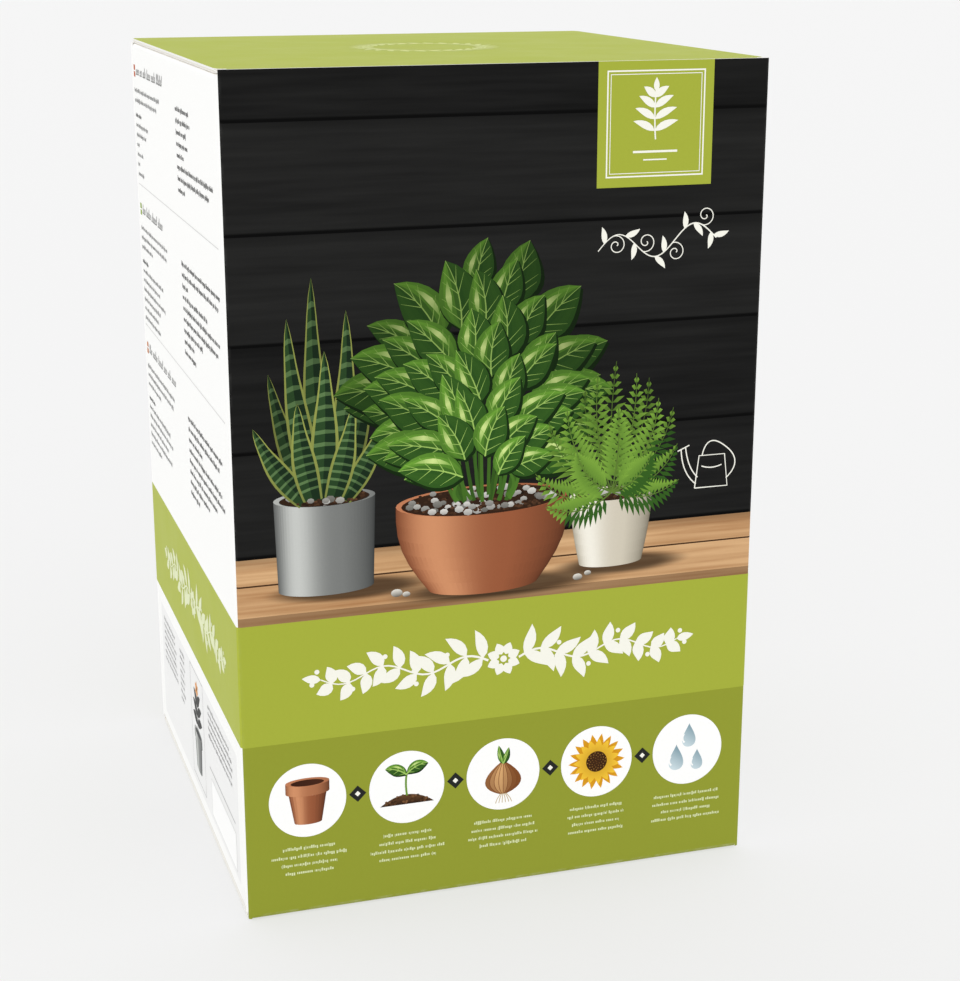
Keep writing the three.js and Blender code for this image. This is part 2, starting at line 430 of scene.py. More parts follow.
def picture_side(turned):
    """The print of the front, or of the back, where turned is -1 because x runs the other way."""

    def paint(tree, x, y, z):
        across = maths(tree, "MULTIPLY", x, turned)
        table = maths(tree, "LESS_THAN", z, TABLE_TOP)
        colour = mixed(tree, table, dark_planks(tree, across, z), pale_table(tree, across, z))
        tab_wide = between(tree, across, TAB_LEFT, TAB_RIGHT)
        tab = maths(tree, "MULTIPLY", tab_wide, maths(tree, "GREATER_THAN", z, TAB_BOTTOM))
        colour = mixed(tree, tab, colour, GREEN)
        colour = mixed(tree, maths(tree, "LESS_THAN", z, GREEN_TOP), colour, GREEN)
        colour = mixed(tree, maths(tree, "LESS_THAN", z, OLIVE_TOP), colour, OLIVE)
        return worn(tree, colour, x, HALF_WIDTH, PRINT_WEAR)

    return paint


def arc(centre, radius, start, end, steps=8):
    """Points (p, q, outward p, outward q) round part of a circle, by angles in degrees."""
    points = []
    for step in range(steps + 1):
        angle = math.radians(start + (end - start) * step / steps)
        out_p = math.cos(angle)
        out_q = math.sin(angle)
        points.append((centre[0] + radius * out_p, centre[1] + radius * out_q, out_p, out_q))
    return points


def limits(points, low, high):
    """The points with the limits that the board has there along the third axis."""
    return [(*point, low, high) for point in points]


def board(name, path, to_space, printed, across):
    """A piece of board that follows a path of points (p, q, outward p, outward q, low, high). The
    board's outer face is on the path, and low and high are its two long edges. Two points at one
    place with other limits make a step in an edge. Its flutes cross the axis across, 0 or 1."""
    build = bmesh.new()
    depth = build.verts.layers.float.new("depth")
    run = build.verts.layers.float.new("run")
    outward = build.verts.layers.float_vector.new("outward")
    rows = []
    for p, q, out_p, out_q, low, high in path:
        row = []
        for inward in (0, 1):
            for third in (low, high):
                shift = inward * BOARD
                vertex = build.verts.new(to_space(p - out_p * shift, q - out_q * shift, third))
                vertex[depth] = inward
                vertex[run] = vertex.co[across]
                vertex[outward] = Vector(to_space(out_p, out_q, 0))
                row.append(vertex)
        rows.append(row)
    quads = []
    for first, second in zip(rows, rows[1:]):
        if any((before.co - after.co).length > 1e-7 for before, after in zip(first[:2], second[:2])):
            quads.append(((first[0], first[1], second[1], second[0]), OUTER))
            quads.append(((first[2], first[3], second[3], second[2]), INSIDE))
        quads.append(((first[0], second[0], second[2], first[2]), CUT))
        quads.append(((first[1], second[1], second[3], first[3]), CUT))
    for end in (rows[0], rows[-1]):
        quads.append(((end[0], end[1], end[3], end[2]), CUT))
    for corners, look in quads:
        if len({tuple(corner.co) for corner in corners}) > 3:
            build.faces.new(corners).material_index = look
    bmesh.ops.remove_doubles(build, verts=build.verts, dist=1e-7)
    bmesh.ops.recalc_face_normals(build, faces=build.faces)
    normals = [vertex[outward].copy() for vertex in build.verts]
    mesh = bpy.data.meshes.new(name)
    build.to_mesh(mesh)
    build.free()
    mesh.attributes.remove(mesh.attributes["outward"])
    for look in (printed, INNER, EDGE):
        mesh.materials.append(look)
    split = []
    for face in mesh.polygons:
        for corner in face.vertices:
            if face.material_index == OUTER:
                split.append(normals[corner])
            elif face.material_index == INSIDE:
                split.append(-normals[corner])
            else:
                split.append(face.normal)
    mesh.normals_split_custom_set(split)
    return placed(name, mesh)


def up_walls(x, y, z):
    return (x, y, z)


front_left = limits(arc((-CORNER_X, -CORNER_Y), CORNER, 225, 270), CORNER_FOOT, HEIGHT)
front_right = limits(arc((CORNER_X, -CORNER_Y), CORNER, 270, 315), CORNER_FOOT, HEIGHT)
front_flat = limits([front_left[-1][:4], front_right[0][:4]], CORNER, HEIGHT)
FRONT_PRINT = coated_material("front_print", picture_side(1), "X")
wall_front = board("wall_front", front_left + front_flat + front_right, up_walls, FRONT_PRINT, 0)
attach(wall_front, "carton")
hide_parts("front_panel")

# ---------------------------------------------------------------------------- the back panel
# It carries the same picture as the front. Its right edge, seen from the front, ends in a creased
# corner and its left edge stops inside the side panel, where it turns in to the glue flap.
lid_low, lid_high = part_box("lid")
back_corner = limits(arc((CORNER_X, CORNER_Y), CORNER, 45, 90), 2 * BOARD, lid_low.z)
back_seam = (-HALF_WIDTH + BOARD, HALF_DEPTH, 0, 1)
back_flat = limits([back_corner[-1][:4], back_seam], BOARD + CORNER, HEIGHT - CORNER)
BACK_PRINT = coated_material("back_print", picture_side(-1), "X")
wall_back = board("wall_back", back_corner + back_flat, up_walls, BACK_PRINT, 0)
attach(wall_back, "carton")
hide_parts("back_panel")

# ----------------------------------------------------------------------------- the side panels
# White, with the green band running round and a pale grey field below it. Their flaps are creased
# on between notches, so that the ends of the panel reach a board further. The left panel's raw rear
# edge is the carton's glued seam.
dust_low, dust_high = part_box("top_dust_left")
base_dust_low, base_dust_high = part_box("bottom_dust_left")
DUST_TOP = dust_high.z
# The sides' band is the front's green printed a little lighter: painted light, for the brighter look the
# sides have.
LIT_SIDE_GREEN = ink(173, 183, 63)
FIELD_PALE = ink(240, 240, 239)
FIELD_HALF = 0.0895
FIELD_LOW = 0.0095
FIELD_HIGH = 0.0620
CREASE_RISE = 0.00025
side_foot = 2 * BOARD
side_crease_low = side_foot + CORNER
side_crease_high = DUST_TOP + CREASE_RISE - CORNER


def white_side(tree, x, y, z):
    band = between(tree, z, OLIVE_TOP, GREEN_TOP)
    field_wide = maths(tree, "LESS_THAN", maths(tree, "ABSOLUTE", y), FIELD_HALF)
    field = maths(tree, "MULTIPLY", field_wide, between(tree, z, FIELD_LOW, FIELD_HIGH))
    colour = mixed(tree, field, PAPER, FIELD_PALE)
    # The band takes the lighter green: painted light.
    colour = mixed(tree, band, colour, LIT_SIDE_GREEN)
    return worn(tree, colour, y, HALF_DEPTH, PRINT_WEAR)


def side_flat(side):
    """The flat of a side panel from front to rear, with its notches."""
    steps = [
        (base_dust_low.y, side_foot, DUST_TOP),
        (base_dust_low.y, side_crease_low, DUST_TOP),
        (dust_low.y, side_crease_low, DUST_TOP),
        (dust_low.y, side_crease_low, side_crease_high),
        (dust_high.y, side_crease_low, side_crease_high),
        (dust_high.y, side_crease_low, DUST_TOP),
        (base_dust_high.y, side_crease_low, DUST_TOP),
        (base_dust_high.y, side_foot, DUST_TOP),
    ]
    return [(side * HALF_WIDTH, y, side, 0, low, high) for y, low, high in steps]


SIDE_PRINT = coated_material("side_print", white_side, "Y")
left_rear = limits([(-HALF_WIDTH, HALF_DEPTH, -1, 0)], side_foot, DUST_TOP)
left_corner = limits(arc((-CORNER_X, -CORNER_Y), CORNER, 180, 225), side_foot, DUST_TOP)
left_path = left_rear + side_flat(-1)[::-1] + left_corner
right_front = limits(arc((CORNER_X, -CORNER_Y), CORNER, 315, 360), side_foot, DUST_TOP)
right_rear = limits(arc((CORNER_X, CORNER_Y), CORNER, 0, 45), side_foot, DUST_TOP)
right_path = right_front + side_flat(1) + right_rear
for name, path, panel in (("left", left_path, "left_panel"), ("right", right_path, "right_panel")):
    wall = board("wall_" + name, path, up_walls, SIDE_PRINT, 1)
    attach(wall, "carton")
    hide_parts(panel)

# ------------------------------------------------------------- the glue flap and the bottom
# The glue flap lies against the left panel inside the rear corner. The bottom is glued: side dust
# flaps first, then the inner flap from the back panel and the outer flap from the front panel.
base_low, base_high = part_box("bottom_outer_flap")
inner_low, inner_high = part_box("bottom_inner_flap")
BASE_TAPER = 0.009
BASE_CORNER = ((0.004, 0.0), (0.0012, 0.0012), (0.0, 0.004))
BEND_EASE = 0.001
FLAP_WEAR = 0.12


def plain(colour, half, axis):
    """One even colour, worn along the creases at both ends of an axis."""

    def paint(tree, x, y, z):
        return worn(tree, colour, (x, y)[axis], half, FLAP_WEAR)

    return paint


def along_x(y, z, x):
    return (x, y, z)


def along_y(x, z, y):
    return (x, y, z)


BASE_PRINT = coated_material("base_print", plain(OLIVE, HALF_DEPTH, 1), "X")
FLAP_PRINT = coated_material("flap_print", plain(PAPER, HALF_WIDTH, 0), "Y")

outer_path = limits(arc((-CORNER_Y, CORNER), CORNER, 180, 270), -CORNER_X, CORNER_X)
outer_ends = [(-CORNER_Y + BEND_EASE, 0, 0, -1), (base_high.y, 0, 0, -1)]
outer_path += limits(outer_ends, base_low.x, base_high.x)
inner_path = limits(arc((CORNER_Y, BOARD + CORNER), CORNER, 0, -90), -HALF_WIDTH + BOARD, CORNER_X)
inner_ends = [(CORNER_Y - BEND_EASE, BOARD, 0, -1), (inner_low.y, BOARD, 0, -1)]
inner_path += limits(inner_ends, inner_low.x, inner_high.x)
for name, path, panel in (
    ("flap_bottom_outer", outer_path, "bottom_outer_flap"),
    ("flap_bottom_inner", inner_path, "bottom_inner_flap"),
):
    flap = board(name, path, along_x, BASE_PRINT, 0)
    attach(flap, "carton")
    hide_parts(panel)

for side, start, end, name in ((-1, 180, 270, "left"), (1, 0, -90, "right")):
    low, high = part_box("bottom_dust_" + name)
    free = low.x if side > 0 else high.x
    path = limits(arc((side * CORNER_X, side_foot + CORNER), CORNER, start, end), low.y, high.y)
    for back_off, turn_in in BASE_CORNER:
        inset = BASE_TAPER + turn_in
        path.append((free + side * back_off, side_foot, 0, -1, low.y + inset, high.y - inset))
    flap = board("flap_bottom_" + name, path, along_y, FLAP_PRINT, 1)
    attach(flap, "carton")
    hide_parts("bottom_dust_" + name)

glue_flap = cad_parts["glue_flap"]
glue_flap.data.materials.clear()
glue_flap.data.materials.append(INNER)

# ------------------------------------------------------------------------ the top dust flaps
# Creased along the tops of the side panels and folded in under the lid: their rear corners are
# mitred and their front edges taper, and their free corners are rounded. A crease turns where its
# inner liner bends, so that the flats on both sides of it stay flat.
DUST_TAPER = 0.012
DUST_MITRE = 0.034
DUST_RADIUS = 0.006
DUST_STRIP = 0.0045
DUST_TIP = 0.00005
CREASE_STEPS = 12
dust_reach = dust_high.x - dust_low.x


def dust_limits(reach):
    """The flap's front and rear limits at that distance from the side panel's outer face."""
    front = dust_low.y + DUST_TAPER * reach / dust_reach
    rear = dust_high.y - min(reach, DUST_MITRE)
    left_over = dust_reach - reach
    if left_over < DUST_RADIUS:
        inset = DUST_RADIUS - math.sqrt(max(DUST_RADIUS**2 - (DUST_RADIUS - left_over) ** 2, 0))
        front += inset
        rear -= inset
    return front, rear


dust_stations = [DUST_STRIP, DUST_MITRE]
for step in range(9):
    dust_stations.append(dust_reach - DUST_RADIUS * (1 - math.sin(math.radians(10 * step))))
dust_stations.append(dust_reach - DUST_TIP)

for side, start, name in ((-1, 180, "left"), (1, 0, "right")):
    body = "dust_flap_" + name
    bend = arc((side * CORNER_X, side_crease_high), CORNER, start, 90, CREASE_STEPS)
    bend += [(side * (HALF_WIDTH - DUST_STRIP), DUST_TOP, 0, 1)]
    bend_path = [(*point, *dust_limits(HALF_WIDTH - abs(point[0]))) for point in bend]
    crease = board("crease_dust_" + name, bend_path, along_y, FLAP_PRINT, 1)
    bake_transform(crease)
    flap_path = []
    for reach in dust_stations:
        flap_path.append((side * (HALF_WIDTH - reach), DUST_TOP, 0, 1, *dust_limits(reach)))
    flap = board("flap_dust_" + name, flap_path, along_y, FLAP_PRINT, 1)
    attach(flap, body)
    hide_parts("top_dust_" + name)

# ------------------------------------------------------------------- the lid and its tuck flap
# The lid turns on the crease along the back panel. Its front crease bulges a little towards the
# front panel, and the tuck flap hangs from it, behind the front panel, with rounded lower corners.
LID_STRIP = 0.005
TUCK_RADIUS = 0.012
TUCK_STEPS = 12
TUCK_TURN = math.radians(87.6)
BULGE_RADIUS = 0.0017
BULGE_FIT = 0.0002
BULGE_INSET = 0.0008
BULGE_FOOT = (0.0004, 0.0034)
LID_VARNISH_IOR = 1.05
tuck_low, tuck_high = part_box("tuck_flap")
lid_x = lid_high.x
LID_PRINT = coated_material("lid_print", plain(GREEN, HALF_DEPTH, 1), "X", LID_VARNISH_IOR)

hinge_arc = arc((CORNER_Y, HEIGHT - CORNER), CORNER, 0, 90, CREASE_STEPS)
hinge_path = limits(hinge_arc, -HALF_WIDTH + BOARD, CORNER_X)
hinge_path += limits([(HALF_DEPTH - LID_STRIP, HEIGHT, 0, 1)], -lid_x, lid_x)
hinge = board("crease_lid", hinge_path, along_x, LID_PRINT, 0)
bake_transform(hinge)

lid_ends = [(HALF_DEPTH - LID_STRIP, HEIGHT, 0, 1), (lid_low.y + LID_STRIP, HEIGHT, 0, 1)]
lid = board("lid_top", limits(lid_ends, -lid_x, lid_x), along_x, LID_PRINT, 0)
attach(lid, "lid")
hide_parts("lid")

bulge_y = -HALF_DEPTH + BOARD + BULGE_FIT + BULGE_RADIUS
fold_path = [(lid_low.y + LID_STRIP, HEIGHT, 0, 1, -lid_x, lid_x)]
fold_path += [(bulge_y + BEND_EASE, HEIGHT, 0, 1, -lid_x + BULGE_INSET, lid_x - BULGE_INSET)]
fold = arc((bulge_y, HEIGHT - BULGE_RADIUS), BULGE_RADIUS, 90, 180, CREASE_STEPS)
fold += [(tuck_low.y - BULGE_FOOT[0], HEIGHT - BULGE_FOOT[1], -1, 0)]
fold += [(tuck_low.y, HEIGHT - LID_STRIP, -1, 0)]
fold_path += limits(fold, tuck_low.x, tuck_high.x)
tuck_crease = board("crease_tuck", fold_path, along_x, LID_PRINT, 0)
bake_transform(tuck_crease)

hang = [(tuck_low.y, HEIGHT - LID_STRIP, -1, 0, tuck_low.x, tuck_high.x)]
for step in range(TUCK_STEPS, -1, -1):
    turn = TUCK_TURN * step / TUCK_STEPS
    drop = TUCK_RADIUS * (1 - math.cos(turn))
    inset = TUCK_RADIUS * (1 - math.sin(turn))
    hang.append((tuck_low.y, tuck_low.z + drop, -1, 0, tuck_low.x + inset, tuck_high.x - inset))
tuck = board("lid_tuck", hang, along_x, LID_PRINT, 0)
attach(tuck, "tuck_flap")
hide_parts("tuck_flap")

# ------------------------------------------------------------- the picture: three potted plants
# The front and the back show three house plants on the pale table. The inks are one film, laid on
# in shapes, each over the ones before. Places are in millimetres from the middle of the panel's
# foot, as seen by someone facing the panel.
MM = 0.001
INK_LIFT = 0.00005
CELL = 3.0
LIGHT_WAY = (0.8, 0.6)
LEAF_SHADOW = ink(8, 14, 6)
LEAF_SHADOW_OFF = (0.05, -0.07)
LEAF_SHADOW_SWELL = 1.08
POT_INSIDE = ink(8, 6, 5)
DIMMEST = ink(10, 14, 9)
LEAF_GLOW = (0.35, 0.8, 1.0, 0.7)
GLOSS_REACH = (0.2, 0.8)
GLOSS_SWELL = 0.15
RIB_WIDTHS = (0.6, 0.2)
VEIN_WIDTHS = (0.3, 0.08)
VEIN_REACH = 0.85
POT_LIGHT_AT, POT_LIGHT_SPREAD, POT_LIGHT_SHARE = 0.30, 0.018, 0.85
POT_BODY_AT, POT_BODY_FALL = 0.42, 2.6
BLADE_STEPS = 12
BLADE_MARGIN = 0.78
FROND_PAIRS = 14
LEAFLET_REACH = 7.5
LEAFLET_LEAST = 0.8
LEAFLET_WAY = (0.48, 0.88)
LEAFLET_WIDEST = 0.42
LEAFLET_HALVES = (1.15, -0.95)
POT_MOUTH_STEPS = 36
SOIL_TONE = ink(50, 33, 22)
SOIL_SHADE = ink(20, 18, 15)
CRUMB_TONES = (ink(38, 25, 17), ink(98, 66, 44))
STONE_TONES = (ink(120, 118, 112), ink(222, 220, 214))


def blended(first, second, share):
    return tuple(a + (b - a) * share for a, b in zip(first, second))


def flat(points, colour):
    """A shape in one even colour."""
    return (points, (0, 0), (1, 0), colour, colour)


def bar(left, low, right, high, colour):
    """A solid rectangle."""
    return flat([(left, low), (right, low), (right, high), (left, high)], colour)


def shade_at(shape, point):
    """A shape's colour at a point: it goes from its first to its second colour between two points."""
    _, start, end, first, second = shape
    along = (end[0] - start[0], end[1] - start[1])
    reach = along[0] ** 2 + along[1] ** 2
    share = ((point[0] - start[0]) * along[0] + (point[1] - start[1]) * along[1]) / reach
    return blended(first, second, min(max(share, 0), 1))


def line_of(start, bend, end, steps):
    """Points along a line that leaves start towards bend and comes to end from it."""
    points = []
    for step in range(steps + 1):
        t = step / steps
        a, b, c = (1 - t) ** 2, 2 * t * (1 - t), t * t
        points.append(tuple(a * p + b * q + c * r for p, q, r in zip(start, bend, end)))
    return points


def bowed(base, tip, bend, steps):
    """Points from base to tip along a line that bows to one side by a share of its length."""
    reach = (tip[0] - base[0], tip[1] - base[1])
    middle = ((base[0] + tip[0]) / 2 - reach[1] * bend, (base[1] + tip[1]) / 2 + reach[0] * bend)
    return line_of(base, middle, tip, steps)


def away(point, angle, reach, squash=1.0):
    """The place at that reach from a point, in the direction of the angle."""
    return (point[0] + reach * math.cos(angle), point[1] + reach * squash * math.sin(angle))


def both_sides(line, widths):
    """The points on both sides of a line, at half its width there."""
    lefts = []
    rights = []
    for index, (x, z) in enumerate(line):
        before = line[max(index - 1, 0)]
        after = line[min(index + 1, len(line) - 1)]
        along = (after[0] - before[0], after[1] - before[1])
        scale = widths[index] / 2 / max(math.hypot(*along), 1e-9)
        lefts.append((x - along[1] * scale, z + along[0] * scale))
        rights.append((x + along[1] * scale, z - along[0] * scale))
    return lefts, rights


def web(one_side, other_side, start, end, first, second):
    """Shapes that fill between two rows of points."""
    shapes = []
    for index in range(len(one_side) - 1):
        corners = [one_side[index], one_side[index + 1], other_side[index + 1], other_side[index]]
        shapes.append((corners, start, end, first, second))
    return shapes


def stroke(line, width, colour, end_width=None):
    """A drawn line, which may narrow or widen to its end."""
    last = width if end_width is None else end_width
    count = len(line) - 1
    widths = [width + (last - width) * index / count for index in range(count + 1)]
    lefts, rights = both_sides(line, widths)
    return web(lefts, rights, line[0], line[-1] if line[-1] != line[0] else line[1], colour, colour)


def round_shape(centre, radius_x, radius_z, steps, turn=0.0):
    points = []
    for step in range(steps):
        angle = 2 * math.pi * step / steps + turn
        points.append((centre[0] + radius_x * math.cos(angle), centre[1] + radius_z * math.sin(angle)))
    return points


def leaf(base, tip, width, bend, tones, widest=0.42, veins=4, steps=10):
    """A leaf from base to tip. Its tones are the shaded half, the lit half, the gloss and the rib."""
    shaded, lit, gloss, rib = tones
    line = bowed(base, tip, bend, steps)
    power = math.log(0.5) / math.log(widest)
    widths = [width * math.sin(math.pi * (step / steps) ** power) ** 0.8 for step in range(steps + 1)]
    edges = both_sides(line, widths)
    towards_light = sum((b - a) * way for a, b, way in zip(base, tip, LIGHT_WAY))
    lit_side = 0 if towards_light > 0 else 1
    under_line = [(x + width * LEAF_SHADOW_OFF[0], z + width * LEAF_SHADOW_OFF[1]) for x, z in line]
    under = both_sides(under_line, [across * LEAF_SHADOW_SWELL for across in widths])
    shade = blended(shaded, LEAF_SHADOW, 0.72)
    shapes = web(*under, base, tip, shade, shade)
    for side in (0, 1):
        tone = lit if side == lit_side else blended(shaded, lit, 0.12)
        inner = line
        for strip, glow in enumerate(LEAF_GLOW):
            outer = [blended(a, b, (strip + 1) / len(LEAF_GLOW)) for a, b in zip(line, edges[side])]
            body = blended(shaded, tone, glow)
            shapes += web(inner, outer, base, tip, blended(body, shaded, 0.5), body)
            inner = outer
    first, last = (round(steps * share) for share in GLOSS_REACH)
    halfway = (first + last) // 2
    for start, end, tones_of_part in ((first, halfway, (lit, gloss)), (halfway, last, (gloss, lit))):
        rows = ([], [])
        for step in range(start, end + 1):
            swell = GLOSS_SWELL * math.sin(math.pi * (step - first) / (last - first))
            for row, share in zip(rows, (0.5 - swell, 0.5 + swell)):
                row.append(blended(line[step], edges[lit_side][step], share))
        shapes += web(*rows, line[start], line[end], *tones_of_part)
    for vein in range(veins):
        at = 1 + round((steps - 4) * vein / max(veins - 1, 1))
        for side in (0, 1):
            end = blended(line[at + 2], edges[side][at + 2], VEIN_REACH)
            vein_line = [line[at], blended(line[at], end, 0.5), end]
            shapes += stroke(vein_line, VEIN_WIDTHS[0], rib, VEIN_WIDTHS[1])
    return shapes + stroke(line, RIB_WIDTHS[0], rib, RIB_WIDTHS[1])


def pot(middle, foot, rim, half_foot, half_rim, bulge, tones, tilt=0.17, columns=36):
    """A round pot seen from a little above: its wall in upright columns of shade, and its rim."""
    dark, mid, light, rim_light = tones
    shapes = []
    levels = 6 if bulge else 1

    def wall_point(share, level):
        up = level / levels
        half = half_foot + (half_rim - half_foot) * up + bulge * math.sin(math.pi * up)
        across = math.sin((share - 0.5) * math.pi)
        sag = half * tilt * math.cos((share - 0.5) * math.pi)
        return (middle + half * across, foot + (rim - foot) * up - sag)

    def wall_tone(share):
        glow = math.exp(-((share - POT_LIGHT_AT) ** 2) / POT_LIGHT_SPREAD)
        body = blended(dark, mid, min(max(1.5 - abs(share - POT_BODY_AT) * POT_BODY_FALL, 0), 1))
        return blended(body, light, glow * POT_LIGHT_SHARE)

    for column in range(columns):
        share, further = column / columns, (column + 1) / columns
        near = [wall_point(share, level) for level in range(levels + 1)]
        far = [wall_point(further, level) for level in range(levels + 1)]
        for level in range(levels):
            level_end = (far[level][0], near[level][1])
            quad = (near[level : level + 2], far[level : level + 2], near[level], level_end)
            shapes += web(*quad, wall_tone(share), wall_tone(further))
    left, right = (middle - half_rim, rim), (middle + half_rim, rim)
    mouth = round_shape((middle, rim), half_rim, half_rim * tilt, POT_MOUTH_STEPS)
    shapes.append((mouth, left, right, rim_light, mid))
    inside = round_shape((middle, rim - 0.3), half_rim - 2, (half_rim - 2) * tilt, 32)
    shapes.append((inside, left, right, blended(dark, POT_INSIDE, 0.5), dark))
    return shapes


def soil(middle, rim, half, pebbles, seed, tilt=0.17):
    """Crumbs of soil, with pebbles over them, in a pot's mouth."""
    chance = random.Random(seed)
    shapes = [flat(round_shape((middle, rim - 0.2), half, half * tilt, 32), SOIL_TONE)]
    for count, tones, size in ((int(half * 4), CRUMB_TONES, 0.8), (pebbles, STONE_TONES, 1.7)):
        for _ in range(count):
            angle = chance.uniform(0, 2 * math.pi)
            reach = math.sqrt(chance.random()) * (half - size)
            centre = away((middle, rim + size * 0.3), angle, reach, tilt)
            radius = size * chance.uniform(0.7, 1.15)
            tone = blended(*tones, chance.random())
            stone = round_shape(centre, radius, radius * 0.72, 7, chance.random())
            low, high = (centre[0], centre[1] - radius), (centre[0], centre[1] + radius * 0.7)
            shapes.append((stone, low, high, blended(tone, SOIL_SHADE, 0.55), tone))
    return shapes


def blade(base, tip, width, bend, tones):
    """An upright sword-shaped leaf, dark with pale margins and faint bars across."""
    dark, mid, margin, stripe = tones
    line = bowed(base, tip, bend, BLADE_STEPS)
    widths = []
    for step in range(BLADE_STEPS + 1):
        t = step / BLADE_STEPS
        widths.append(width * (0.72 + 0.28 * math.sin(math.pi * min(t * 1.4, 1))) * (1 - t**3.2) ** 0.8)
    edges = both_sides(line, widths)
    insets = [[blended(a, b, BLADE_MARGIN) for a, b in zip(line, edge)] for edge in edges]
    shapes = []
    for edge, inset, tone in zip(edges, insets, (mid, dark)):
        shapes += web(line, inset, base, tip, blended(tone, dark, 0.5), tone)
        shapes += web(inset, edge, base, tip, blended(margin, dark, 0.45), margin)
    left, right = insets
    for step in range(1, BLADE_STEPS - 1):
        low = blended(left[step], left[step + 1], 0.30)
        high = blended(left[step], left[step + 1], 0.62)
        far_low = blended(right[step], right[step + 1], 0.45)
        far_high = blended(right[step], right[step + 1], 0.70)
        rise = blended(line[step], line[step + 1], 0.75)
        sink = blended(line[step], line[step + 1], 0.42)
        shapes.append(flat([low, sink, rise, high], stripe))
        shapes.append(flat([sink, far_low, far_high, rise], blended(stripe, dark, 0.35)))
    return shapes


def onward(point, way, reach):
    """The place at that reach from a point, along a way (x, z)."""
    return (point[0] + way[0] * reach, point[1] + way[1] * reach)


def frond(base, tip, bend, tones):
    """A fern's frond: leaflets in pairs along a rib, shorter towards the tip."""
    shaded, lit, rib = tones
    line = bowed(base, tip, bend, FROND_PAIRS + 2)
    shapes = stroke(line, 0.6, rib, 0.25)
    for pair in range(2, FROND_PAIRS + 2):
        root = line[pair]
        along = (root[0] - line[pair - 1][0], root[1] - line[pair - 1][1])
        unit = max(math.hypot(*along), 1e-6)
        along = (along[0] / unit, along[1] / unit)
        t = (pair - 1) / FROND_PAIRS
        length = LEAFLET_REACH * math.sin(math.pi * (0.12 + 0.86 * t) ** 0.75) + LEAFLET_LEAST
        for side in (-1, 1):
            across = (-along[1] * side, along[0] * side)
            out = onward((across[0] * LEAFLET_WAY[1], across[1] * LEAFLET_WAY[1]), along, LEAFLET_WAY[0])
            end = onward(root, out, length)
            half = onward(root, out, length * LEAFLET_WIDEST)
            first, second = (onward(half, along, reach) for reach in LEAFLET_HALVES)
            tone = lit if out[1] > 0.1 or out[0] < -0.5 else shaded
            shapes.append(([root, first, end, second], root, end, blended(tone, shaded, 0.6), tone))
    return shapes


def dimmed(tones, share):
    return tuple(blended(tone, DIMMEST, share) for tone in tones)


STONEWARE = (ink(52, 54, 54), ink(120, 122, 120), ink(206, 208, 204), ink(176, 178, 174))
CLAY = (ink(74, 40, 26), ink(150, 88, 58), ink(214, 150, 108), ink(190, 124, 88))
CREAM_POT = (ink(112, 104, 88), ink(206, 198, 180), ink(246, 242, 230), ink(236, 230, 214))
SWORD = (ink(26, 46, 28), ink(48, 78, 42), ink(158, 166, 84), ink(92, 122, 76))
BROAD = (ink(42, 80, 30), ink(110, 162, 56), ink(206, 226, 142), ink(160, 196, 100))
FERN = (ink(52, 92, 32), ink(128, 170, 64), ink(92, 120, 50))

# Where the three pots stand, and the heights of their rims.
SWORD_AT, SWORD_RIM = -67, 161
BROAD_AT, BROAD_RIM = -8, 155
FERN_AT, FERN_RIM = 42, 153

# The sword-shaped leaves: foot across, tip across, tip up, width, bend and how deep in shade.
BLADES = (
    (-72, -86, 207, 8.5, 0.06, 0.45),
    (-62, -49, 212, 8.5, -0.06, 0.45),
    (-67, -70, 240, 9.5, 0.03, 0.30),
    (-70, -79, 226, 9.5, 0.05, 0.18),
    (-63, -58, 228, 9.5, -0.05, 0.18),
    (-74, -92, 188, 8.5, 0.10, 0.08),
    (-60, -44, 190, 8.0, -0.10, 0.08),
    (-68, -66, 214, 10.5, -0.03, 0.0),
    (-71, -76, 196, 9.5, 0.06, 0.0),
    (-64, -56, 194, 9.0, -0.06, 0.0),
)

# The fern's fronds: tip across, tip up, bend and how deep in shade.
FRONDS = (
    (31, 194, 0.16, 0.45),
    (56, 196, -0.16, 0.45),
    (43, 203, 0.05, 0.35),
    (17, 182, 0.26, 0.28),
    (66, 184, -0.26, 0.28),
    (36, 199, 0.12, 0.15),
    (51, 198, -0.12, 0.15),
    (12, 163, 0.38, 0.10),
    (68, 170, -0.34, 0.10),
    (24, 187, 0.24, 0.0),
    (60, 188, -0.24, 0.0),
    (16, 150, 0.34, 0.0),
    (69, 156, -0.30, 0.0),
    (28, 170, 0.26, 0.0),
    (58, 168, -0.30, 0.0),
    (44, 186, -0.08, 0.0),
)

# Left: upright sword-shaped leaves in a straight grey pot. The crumbs that lie against the leaves'
# feet come last, without the soil's ground.
picture = pot(SWORD_AT, 127.5, SWORD_RIM, 17.5, 18.5, 0, STONEWARE)
picture += soil(SWORD_AT, SWORD_RIM, 16.3, 14, 3)
for foot_x, tip_x, tip_z, width, bend, depth in BLADES:
    picture += blade((foot_x, SWORD_RIM - 1), (tip_x, tip_z), width, bend, dimmed(SWORD, depth))
picture += soil(SWORD_AT, SWORD_RIM - 1.8, 11, 6, 9, 0.10)[1:]

